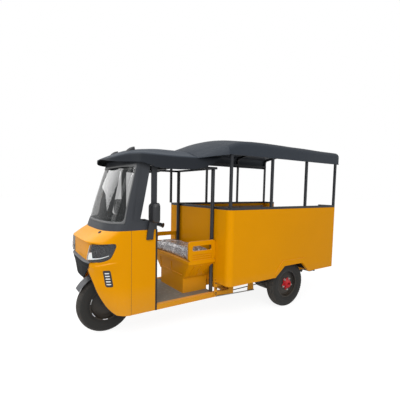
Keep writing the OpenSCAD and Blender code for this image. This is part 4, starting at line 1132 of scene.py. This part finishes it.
def film_creases(p, normal):
    """Moves a point of the cover along its normal, with the folds of the film on the cushion's top."""
    fold = noise.noise(Vector((p.x * 26, p.y * 11, p.z * 26)))
    fold += 0.5 * noise.noise(Vector((p.x * 60, p.y * 34, p.z * 40)))
    return p + normal * (0.0035 * fold * smooth(FILM_LOW, FILM_HIGH, p.z))


seat_lo, seat_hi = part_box("seat_cushion")
SEAT_CROWN, SOFT = Vector((0, 0, 0.030)), 0.7
film_cover = wrapped_cover("wrapped_cover")
cushion = stuffed("driver_cushion", seat_lo, Vector(seat_hi) + SEAT_CROWN, 0.006, 0.024, film_cover,
                  "seat_cushion", film_creases, (0.008, 0.008, 0.010))


# Passenger box: folded sheet walls with rounded front corners and flanged wheel arches,
# spot-welded to the floor and to each other, in body yellow; housings inside in black.
dress("front_wall box_side_left box_side_right rear_returns", body_yellow, 0.003)
dress("wheel_arches", running_black, 0.003)


# Benches: sheet frames along both walls with brown quilted cushions and backs, foam in a
# marbled cover with sewn channels, lying on the frames and screwed through from below.
dress("bench_frames", body_yellow, 0.003)


def brown_cover(name):
    def varied(ink):
        veins = {"Vector": ink.place(), "Scale": 16.0, "Detail": 6.0, "Distortion": 2.2}
        marble = ink.node("TexNoise", {}, veins)
        ramp = [(0.34, shade(60, 40, 30)), (0.48, shade(104, 74, 56)), (0.60, shade(78, 54, 42)),
                (0.74, shade(138, 108, 86))]
        return {
            "Base Color": ink.node("ValToRGB", {"stops": ramp}, {0: marble}),
            "Roughness": marble * 0.2 + 0.34,
            "Normal": ink.raised(ink.clouds(420.0, 3.0), 0.16),
        }

    return finish(name, {"Specular IOR Level": 0.45, "Sheen Weight": 0.1}, varied)


def groove(p, start, pitch, width):
    """1 in the middle of the nearest sewn channel across the bench, 0 away from it."""
    off = abs((p - start + pitch / 2) % pitch - pitch / 2)
    return 1 - smooth(0.0, width, off)


marbled = brown_cover("brown_cover")
CHANNELS, CHANNEL_W, CUSHION_INNER, BACK_INNER = 6, 0.014, 0.190, 0.4847
low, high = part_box("bench_cushions")
bench_lo, bench_hi = Vector((low.x, CUSHION_INNER, low.z)), high


def seat_channels(p, normal):
    top = smooth(bench_lo.z + 0.030, bench_lo.z + 0.055, p.z)
    return p - normal * 0.009 * top * groove(p.x, bench_lo.x, (bench_hi.x - bench_lo.x) / CHANNELS, CHANNEL_W)


back_low, back_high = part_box("bench_backs")
rest_lo, rest_hi = Vector((back_low.x, BACK_INNER, back_low.z)), back_high


def back_channels(p, normal):
    front = 1 - smooth(rest_lo.y + 0.018, rest_lo.y + 0.045, p.y)
    return p - normal * 0.008 * front * groove(p.x, rest_lo.x, (rest_hi.x - rest_lo.x) / CHANNELS, CHANNEL_W)


for name, lo, hi, node, sewn, squeeze in (
    ("bench_cushion", bench_lo, bench_hi, "bench_cushions", seat_channels, (0.008, 0.008, 0.010)),
    ("bench_back", rest_lo, rest_hi, "bench_backs", back_channels, (0.008, 0.010, 0.008)),
):
    left = stuffed(name + "_left", lo, hi, 0.011, 0.022, marbled, node, sewn, squeeze)
    right = placed(name + "_right", left.data.copy())
    right.data.transform(Matrix.Scale(-1, 4, (0, 1, 0)))
    right.data.flip_normals()
    fixed(right, stands_for=[node])


# Passenger canopy: one sheet of coated tarpaulin, stretched over the bows, with rounded
# shoulders, a corded hem, a closed front and a slope down to the cab roof. It sags a little
# between the bows.
HEM, TARP_RISE, CANOPY_HALF, SHOULDER, TARP_T = 1.668, 0.201, 0.580, 0.060, 0.004
TARP_FRONT, TARP_LEN, FIRST_BOW, BOW_PITCH = FRONT_X - 0.980, 1.755, 0.0465, 0.557
TARP = (  # place along, shoulder and crown as shares of the rise
    (TARP_FRONT - TARP_LEN, 0.716, 0.965), (TARP_FRONT - 0.375, 0.756, 1.0),
    (TARP_FRONT - 0.180, 0.690, 0.995), (TARP_FRONT - FIRST_BOW, 0.527, 0.860), (TARP_FRONT, 0.438, 0.790),
)
tarp_shoulder, tarp_crown = columns(TARP)
BOWS = [TARP_FRONT - FIRST_BOW - BOW_PITCH * k for k in range(4)]


def sag(x):
    """0 on a bow, 1 half way between two."""
    for front, rear in zip(BOWS[:-1], BOWS[1:]):
        if rear <= x <= front:
            return sin(pi * (x - rear) / (front - rear)) ** 2
    return 0.0


def tarp_line(x, depth):
    shoulder, crown = HEM + tarp_shoulder(x) * TARP_RISE - depth, HEM + tarp_crown(x) * TARP_RISE - depth
    hw, r = CANOPY_HALF - depth, SHOULDER - depth
    flat = hw - r
    left = [(hw, HEM + (shoulder - r - HEM) * k / 10) for k in range(10)]
    left += [(flat + y, shoulder - r + z) for y, z in arc(r, 9)]
    left += [(y, crown - (crown - shoulder) * (y / flat) ** 2) for y in spread(flat, 0, 30)[1:]]
    line = left + [(-y, z) for y, z in left[-2::-1]]
    out, slack = [], sag(x)
    for y, z in line:
        ripple = noise.noise(Vector((x * 5.0, y * 4.0, z * 6.0)))
        drop = slack * (0.007 * (1 - (y / hw) ** 2) + 0.0018 * ripple)
        pull = slack * 0.003 * (y / hw) ** 4
        out.append((x, y - copysign(pull, y), z - drop))
    return out


def tarpaulin(name, colour):
    def varied(ink):
        place = ink.place()
        cloud = ink.clouds(3.0, 5.0, 0.6)
        weft = ink.node("TexWave", {"bands_direction": "X"}, {"Vector": place, "Scale": 130.0})
        warp = ink.node("TexWave", {"bands_direction": "Y"}, {"Vector": place, "Scale": 130.0})
        return {
            "Base Color": cloud.mottled(colour, 0.85, 1.15),
            "Roughness": cloud * 0.2 + 0.46,
            "Normal": ink.raised(weft + warp + cloud * 6, 0.12, 0.002),
        }

    return finish(name, {"Specular IOR Level": 0.3, "Sheen Weight": 0.05}, varied)


tarp_x = spread(TARP_FRONT - TARP_LEN, TARP_FRONT, 130)
canopy_grey = tarpaulin("canopy_tarpaulin", shade(32, 39, 48))
skin_rows, lining_rows = ([tarp_line(x, depth) for x in tarp_x] for depth in (0.0, TARP_T))
canopy = piece("canopy", [shell(skin_rows, lining_rows)], canopy_grey,
               stands_for=["passenger_canopy"], crease=60)


hems = [[Vector(row[k]) + Vector((0, 0.0005 * s, 0.004)) for row in skin_rows] for k, s in ((0, 1), (-1, -1))]
hem = piece("canopy_hem", [tube(line, 0.0042, 8) for line in hems], canopy_grey, crease=60)


def roof_under(x, gap):
    """The left half of the roof's section at a place along, raised by gap, as (across, up) columns."""
    half = [(y, z) for _, y, z in roof_line((x - ROOF_REAR) / ROOF_LEN, -gap) if y >= 0][::-1]
    return list(zip(*half))


PANEL_HALF, SHOULDER_FROM = CANOPY_HALF - 0.003, CANOPY_HALF - SHOULDER
panel_rows = []
front_shoulder, front_crown = (HEM + f(TARP_FRONT) * TARP_RISE for f in (tarp_shoulder, tarp_crown))
roof_y, roof_z = roof_under(TARP_FRONT, 0.0015)
for y in spread(-PANEL_HALF, PANEL_HALF, 72):
    over = max(0.0, abs(y) - SHOULDER_FROM)
    top = front_crown - (front_crown - front_shoulder) * (min(abs(y), SHOULDER_FROM) / SHOULDER_FROM) ** 2
    top -= SHOULDER - (SHOULDER ** 2 - over ** 2) ** 0.5 + 0.002
    foot = max(HEM, float(np.interp(abs(y), roof_y, roof_z, right=HEM)))
    row = []
    for t in spread(0, 1, 10):
        slack = 0.004 * noise.noise(Vector((0.0, y * 7, t * 2))) * sin(pi * t)
        row.append((TARP_FRONT - 0.0005 - slack, y, foot + (top - foot) * t))
    panel_rows.append(row)
panel_back = [[(x - TARP_T, y, z) for x, y, z in row] for row in panel_rows]
front_panel = piece("canopy_front", [shell(panel_rows, panel_back)], canopy_grey, crease=60)

RAMP_LEN, RAMP_GAP, LANDING_LOW, RAMP_STEPS = 0.255, 0.003, 1.625, 72
arch = [(y, z) for x, y, z in tarp_line(TARP_FRONT, 0.0)]
landing_share = (TARP_FRONT + RAMP_LEN - ROOF_REAR) / ROOF_LEN
landing = [(y, z) for x, y, z in roof_line(landing_share, -RAMP_GAP) if z > LANDING_LOW]
ramp_rows = []
for share in spread(0, 1, 24):
    ahead, row = TARP_FRONT + RAMP_LEN * share, []
    roof_y, roof_z = roof_under(ahead, RAMP_GAP)
    for (y0, z0), (y1, z1) in zip(walked(arch, RAMP_STEPS), walked(landing, RAMP_STEPS)):
        y, z = y0 + (y1 - y0) * share, z0 + (z1 - z0) * share
        row.append((ahead, y, max(z, float(np.interp(abs(y), roof_y, roof_z, right=0.0)))))
    ramp_rows.append(row)
ramp_back = [[(x, y, z - RAMP_GAP) for x, y, z in row] for row in ramp_rows]
ramp = piece("canopy_ramp", [shell(ramp_rows, ramp_back)], canopy_grey, crease=60)


# Tail lamps: red ribbed lens, moulded in one and snapped into a black bezel that is screwed
# to each rear return.
lamp_lo, lamp_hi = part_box("tail_lamps")
TAIL_W, TAIL_H = 0.080, 0.150
tail_y, tail_z = lamp_hi.y - TAIL_W / 2, (lamp_lo.z + lamp_hi.z) / 2
red_lens = smoked("red_lens", shade(168, 20, 22), 1.0)
bezel = [[(lamp_hi.x - x, tail_y + y, tail_z + z) for y, z in rounded(TAIL_W - cut, TAIL_H - cut, 0.012, 5)]
         for x, cut in ((0.0, 0.0), (0.009, 0.0), (0.011, 0.003), (0.011, 0.012), (0.008, 0.013))]
lens = []
for share in spread(0, 1, 12):
    bow, size = 0.0042 * (1 - share ** 3), 0.15 + 0.85 * share
    outline = rounded(0.067 * size, 0.070 + 0.067 * share, 0.009 * size, 5)
    lens.append([(lamp_hi.x - 0.0105 - bow + 0.0006 * (i % 2), tail_y + y, tail_z + z)
                 for i, (y, z) in enumerate(outline)])
piece("tail_lamp_bezels", both([lofted(bezel)]), dark_moulding)
piece("tail_lamp_lenses", both([lofted(lens[::-1])]), red_lens, stands_for=["tail_lamps"],
      crease=20)


# Tyres: 4.00-12 cross-ply, a rounded tread of zigzag ribs cut by cross slits, bulged walls
# with a raised rib, seated on the rims.
TYRE_R, BEAD_R, TYRE_W = 0.265, 0.156, 0.108
SLICES, PITCHES, GROOVES, GROOVE_DEEP = 336, 56, (-0.030, -0.010, 0.010, 0.030), 0.0062
TREAD_FOOT, TREAD_STEP, WALL_RIBS = 0.220, 0.0032, ((0.196, 0.201), (0.176, 0.179))


def tyre_outline():
    """Half a section from the crown to the bead as (radius, across)."""
    mid = (TYRE_R + BEAD_R) / 2 - 0.006
    half = []
    for t in spread(0, pi / 2, 30):
        half.append((mid + (TYRE_R - mid) * max(cos(t), 0.0) ** 0.7, TYRE_W / 2 * sin(t) ** 0.7))
    return half + [(BEAD_R + up, TYRE_W / 2 * share) for up, share in
                   ((0.030, 0.955), (0.022, 0.915), (0.014, 0.86), (0.006, 0.80), (0.0, 0.74))]


def tread_cut(angle, across, radius):
    """Depth of the grooves at a place on the tread."""
    beat = angle * PITCHES / (2 * pi) % 1.0
    zig = 0.0035 * (abs(2 * beat - 1) * 2 - 1)
    ribs = max(1 - smooth(0.0022, 0.0040, abs(across - zig - groove_y)) for groove_y in GROOVES)
    slit = (1 - smooth(0.05, 0.13, abs(beat - 0.5))) * smooth(0.031, 0.036, abs(across))
    return GROOVE_DEEP * smooth(TREAD_FOOT + 0.002, TREAD_FOOT + 0.016, radius) * max(ribs, 0.85 * slit)


def tyre_part(x, y):
    half = tyre_outline()
    section = half[::-1] + [(r, -w) for r, w in half[1:]]
    dense = []
    for (r0, w0), (r1, w1) in zip(section[:-1], section[1:]):
        count = max(1, int(hypot(r1 - r0, w1 - w0) / TREAD_STEP)) if min(r0, r1) > TREAD_FOOT else 1
        dense += [(r0 + (r1 - r0) * k / count, w0 + (w1 - w0) * k / count) for k in range(count)]
    dense.append(section[-1])
    points = []
    for k in range(SLICES):
        a = 2 * pi * k / SLICES
        for r, w in dense:
            wall = 0.0012 if any(low < r < high for low, high in WALL_RIBS) else 0.0
            cut = tread_cut(a, w, r)
            points.append((x + (r - cut) * cos(a), y + w + copysign(wall, w), AXLE_Z + (r - cut) * sin(a)))
    return points, skin(SLICES, len(dense), True)


def road_rubber(name, x, y):
    def varied(ink):
        place = ink.node("VectorMath", {"operation": "SUBTRACT"}, {0: ink.place(), 1: (x, y, AXLE_Z)})
        flat = ink.node("VectorMath", {"operation": "MULTIPLY"}, {0: place, 1: (1, 0, 1)})
        radius = ink.node("VectorMath", {"operation": "LENGTH"}, {0: flat}, out=1)
        cloud = ink.clouds(22.0, 6.0, 0.65)
        worn = ((radius - 0.236) * 40).held() * cloud
        return {
            "Base Color": (worn * 0.8).tone(cloud.tone(shade(27, 27, 26), shade(42, 41, 39)),
                                            shade(84, 79, 74)),
            "Roughness": cloud * 0.2 + 0.62,
            "Normal": ink.raised(ink.clouds(260.0, 3.0), 0.2),
        }

    return finish(name, {"Specular IOR Level": 0.3}, varied)


WHEELS = (  # body, tyre node, rim node, place along and across, side its outer face looks to
    ("front_wheel", "front_tyre", "front_rim", FRONT_X, 0.0, 1),
    ("rear_wheel_left", "rear_tyre_left", "rear_rim_left", REAR_X, TRACK, 1),
    ("rear_wheel_right", "rear_tyre_right", "rear_rim_right", REAR_X, -TRACK, -1),
)
for body, tyre_node, rim_node, x, y, out in WHEELS:
    piece(tyre_node + "_tread", [tyre_part(x, y)], road_rubber(tyre_node + "_rubber", x, y), body,
          stands_for=[tyre_node], crease=50)


# Wheels: pressed and welded black steel rims. The rear hubs are red castings held by five
# studs; short white strips round the front rim's edge are painted highlights.
rim_black = chassis_black("rim_black", shade(22, 22, 24), 0.40, 0.30)
hub_red = enamel("hub_red", shade(178, 40, 46), 0.2)
# Painted highlights: white strips that stand in for the glints on the front rim's edge.
rim_highlight_white = white_acrylic("painted_rim_highlights")
STUDS, STUD_RING, FIRST_STUD, STRIPS = 5, 0.066, radians(123), 7


def rim_section(hub_r, bore_r, hub_half, disc):
    """Closed section of a rim with its well, wheel disc and hub, as (radius, across)."""
    edge, w = BEAD_R - 0.0004, TYRE_W * 0.37
    return [
        (bore_r, -hub_half), (hub_r * 0.85, -hub_half), (hub_r, -hub_half + 0.006), (hub_r, disc - 0.010),
        (hub_r + 0.012, disc - 0.005), (0.095, disc - 0.003), (0.112, disc - 0.013), (0.128, disc - 0.012),
        (0.140, -0.004), (0.143, -0.016), (0.144, -w + 0.004), (0.149, -w), (edge, -w), (edge, w), (0.149, w),
        (0.144, w - 0.004), (0.143, 0.016), (0.140, 0.010), (0.128, disc + 0.002), (0.112, disc + 0.004),
        (0.095, disc + 0.013), (hub_r + 0.012, disc + 0.010), (hub_r, disc + 0.014),
        (hub_r, hub_half - 0.006), (hub_r * 0.85, hub_half), (bore_r, hub_half),
    ]


def red_hub(turn):
    """A hub casting: a flange with a lobe at each stud, and its domed cap."""
    flange = []
    for a in (2 * pi * k / 60 for k in range(60)):
        reach = STUD_RING + 0.012 * cos(STUDS * (a - FIRST_STUD))
        flange.append((reach * cos(a), reach * sin(a)))
    cap = [(0.0215, 0.030), (0.050, 0.030), (0.048, 0.048), (0.040, 0.060), (0.030, 0.066), (0.0215, 0.066)]
    return [plate(flange, turn @ Matrix.Translation((0, 0.022, 0)), 0.010), turned(cap, turn, 48)]


def highlight_strip(x, y, s, middle):
    """A white strip on one side of the rim's edge, about a middle angle, standing in for a highlight."""
    line = ((0.1505, 0.0404), (0.1455, 0.0394), (0.1440, 0.0368))
    band = [[(x + r * cos(a), y + s * w, AXLE_Z + r * sin(a)) for r, w in line]
            for a in spread(middle - radians(9), middle + radians(9), 10)]
    return shell(band, [[(px, py - s * 0.0012, pz) for px, py, pz in row] for row in band])


for body, tyre_node, rim_node, x, y, out in WHEELS:
    rear = body != "front_wheel"
    turn = at(x, y, AXLE_Z, (0, 0, 0 if out > 0 else 180))
    if rear:
        section = rim_section(hub_r=0.046, bore_r=0.0203, hub_half=0.040, disc=0.010)
    else:
        section = rim_section(hub_r=0.040, bore_r=0.0104, hub_half=0.050, disc=0.0)
    piece(rim_node + "_wheel", [turned(section, turn, 80)], rim_black, body,
          stands_for=[rim_node], crease=40)
    if rear:
        piece(rim_node + "_hub", red_hub(turn), hub_red, body)
        studs = []
        for k in range(STUDS):
            a = FIRST_STUD + 2 * pi * k / STUDS
            studs += nut(turn @ at(STUD_RING * cos(a), 0.031, STUD_RING * sin(a)), 0.0095, 0.010)
        piece(rim_node + "_studs", studs, zinc, body)
    else:
        strips = [highlight_strip(x, y, s, radians(17 + 360 / STRIPS * k))
                  for s in (-1, 1) for k in range(STRIPS)]
        piece(rim_node + "_strips", strips, rim_highlight_white, body)


# Axle ends, sill lugs, hangers and hand-brake rod: lugs with rubber eyes and hangers of yellow
# plate, welded to the sills' rear ends and under the frame, with a plated rod between the left ones.
FORK_FACE, axle_nuts = 0.098, []
for s in (-1, 1):
    axle_nuts += nut(at(FRONT_X, s * FORK_FACE, AXLE_Z, (0, 0, 0 if s > 0 else 180)), 0.015, 0.012)
piece("front_axle_nuts", axle_nuts, zinc, "steering")


def tapered(half, neck, foot, shoulder, top):
    """The outline of a plate that narrows from its shoulder to its top."""
    return [(-half, foot), (half, foot), (half, shoulder), (neck, top), (-neck, top), (-half, shoulder)]


LUG_X, LUG_Y, LUG_T, HANGER_X, HANGER_Y = FRONT_X - 1.022, 0.3745, 0.005, FRONT_X - 1.560, 0.325
lug = plate(tapered(0.019, 0.010, 0.256, 0.430, 0.448), at(LUG_X, LUG_Y, 0), LUG_T)
hanger = plate(tapered(0.045, 0.030, 0.213, 0.240, 0.362), at(HANGER_X, HANGER_Y, 0), 0.006)
piece("sill_lugs", both([lug, hanger]), body_yellow)
eye_ring = [(0.0075, 0.0), (0.0125, 0.0), (0.0125, 0.002), (0.0075, 0.002)]
eyes = [turned(eye_ring, at(LUG_X, LUG_Y + LUG_T, z), 24) for z in (0.290, 0.345, 0.400, 0.430)]
piece("lug_eyes", both(eyes), rubber_black)
rod_ends = ((LUG_X, LUG_Y + 0.010, 0.262), (HANGER_X - 0.044, HANGER_Y + 0.012, 0.220))
piece("hand_brake_rod", [tube(rod_ends, 0.0060, 14)], zinc)


# Studio: a pale floor under an even white surround, with four broad soft lamps, the key one
# ahead and to the left.
FLOOR = 40.0
mesh = bpy.data.meshes.new("studio_floor")
corners = [(x * FLOOR, y * FLOOR, 0) for x, y in ((-1, -1), (1, -1), (1, 1), (-1, 1))]
mesh.from_pydata(corners, [], [(0, 1, 2, 3)])
material = bpy.data.materials.new("studio_floor")
material.use_nodes = True
tree = material.node_tree
tree.nodes.remove(tree.nodes["Principled BSDF"])
ink = Ink(tree)
seen = (ink.node("LightPath", out=0) + ink.node("LightPath", out=3) + ink.node("LightPath", out=6)).held()
grain = ink.clouds(1.2).tone((0.80, 0.80, 0.80, 1), (0.82, 0.82, 0.82, 1))
bounce = ink.node("BsdfDiffuse", {}, {"Color": grain})
pale = ink.node("BsdfDiffuse", {}, {"Color": (0.22, 0.22, 0.22, 1)})
glow = ink.node("Emission", {}, {"Color": (1, 1, 1, 1), "Strength": 0.88})
shown = ink.node("AddShader", {}, {0: pale, 1: glow})
surface = ink.node("MixShader", {}, {0: seen, 1: bounce, 2: shown})
tree.links.new(surface.socket, tree.nodes["Material Output"].inputs["Surface"])
mesh.materials.append(material)
placed("studio_floor", mesh)


world = bpy.data.worlds.new("studio")
world.use_nodes = True
bpy.context.scene.world = world
air = Ink(world.node_tree)
seen = (air.node("LightPath", out=0) + air.node("LightPath", out=6)).held()
world.node_tree.links.new((seen * 0.42 + 0.58).socket, world.node_tree.nodes["Background"].inputs["Strength"])
world.node_tree.nodes["Background"].inputs["Color"].default_value = (1, 1, 1, 1)

for name, place, aim, size, power in (
    ("key", (3.4, 5.2, 5.0), (0.0, 0.0, 0.8), 4.0, 310.0),
    ("front", (6.0, 0.6, 3.2), (0.6, 0.0, 0.9), 3.0, 45.0),
    ("top", (1.4, 0.4, 5.6), (1.0, 0.0, 1.0), 3.2, 100.0),
    ("far", (3.2, -4.0, 3.6), (1.1, 0.0, 1.4), 3.0, 95.0),
):
    lamp = bpy.data.lights.new(name, "AREA")
    lamp.shape, lamp.size, lamp.energy = "SQUARE", size, power
    stand = placed(name, lamp)
    stand.location = place
    stand.rotation_euler = (Vector(aim) - Vector(place)).to_track_quat("-Z", "Y").to_euler()

bpy.context.scene.view_settings.view_transform = "Standard"


# Camera: where the picture was taken from, ahead of the left side at eye height, with the
# focal length and the axis that were fitted to it, in pixels of the picture.
PICTURE, FOCAL, AXIS_X, AXIS_Y, SENSOR = 400, 296.60, 179.71, 211.22, 36.0
EYE = (FRONT_X + 0.8483, 2.6851, 1.3358)
yaw, pitch, roll = radians(238.26), radians(-4.156), radians(0.838)
forward = Vector((cos(yaw) * cos(pitch), sin(yaw) * cos(pitch), sin(pitch)))
level = Vector((sin(yaw), -cos(yaw), 0))
upward = level.cross(forward)
tilt_right, tilt_up = level * cos(roll) + upward * sin(roll), upward * cos(roll) - level * sin(roll)
view = bpy.data.cameras.new("camera")
view.sensor_width, view.lens = SENSOR, FOCAL / PICTURE * SENSOR
view.shift_x, view.shift_y = (PICTURE / 2 - AXIS_X) / PICTURE, (AXIS_Y - PICTURE / 2) / PICTURE
eye = placed("camera", view)
eye.matrix_world = Matrix.Translation(EYE) @ Matrix((tilt_right, tilt_up, -forward)).transposed().to_4x4()
bpy.context.scene.camera = eye
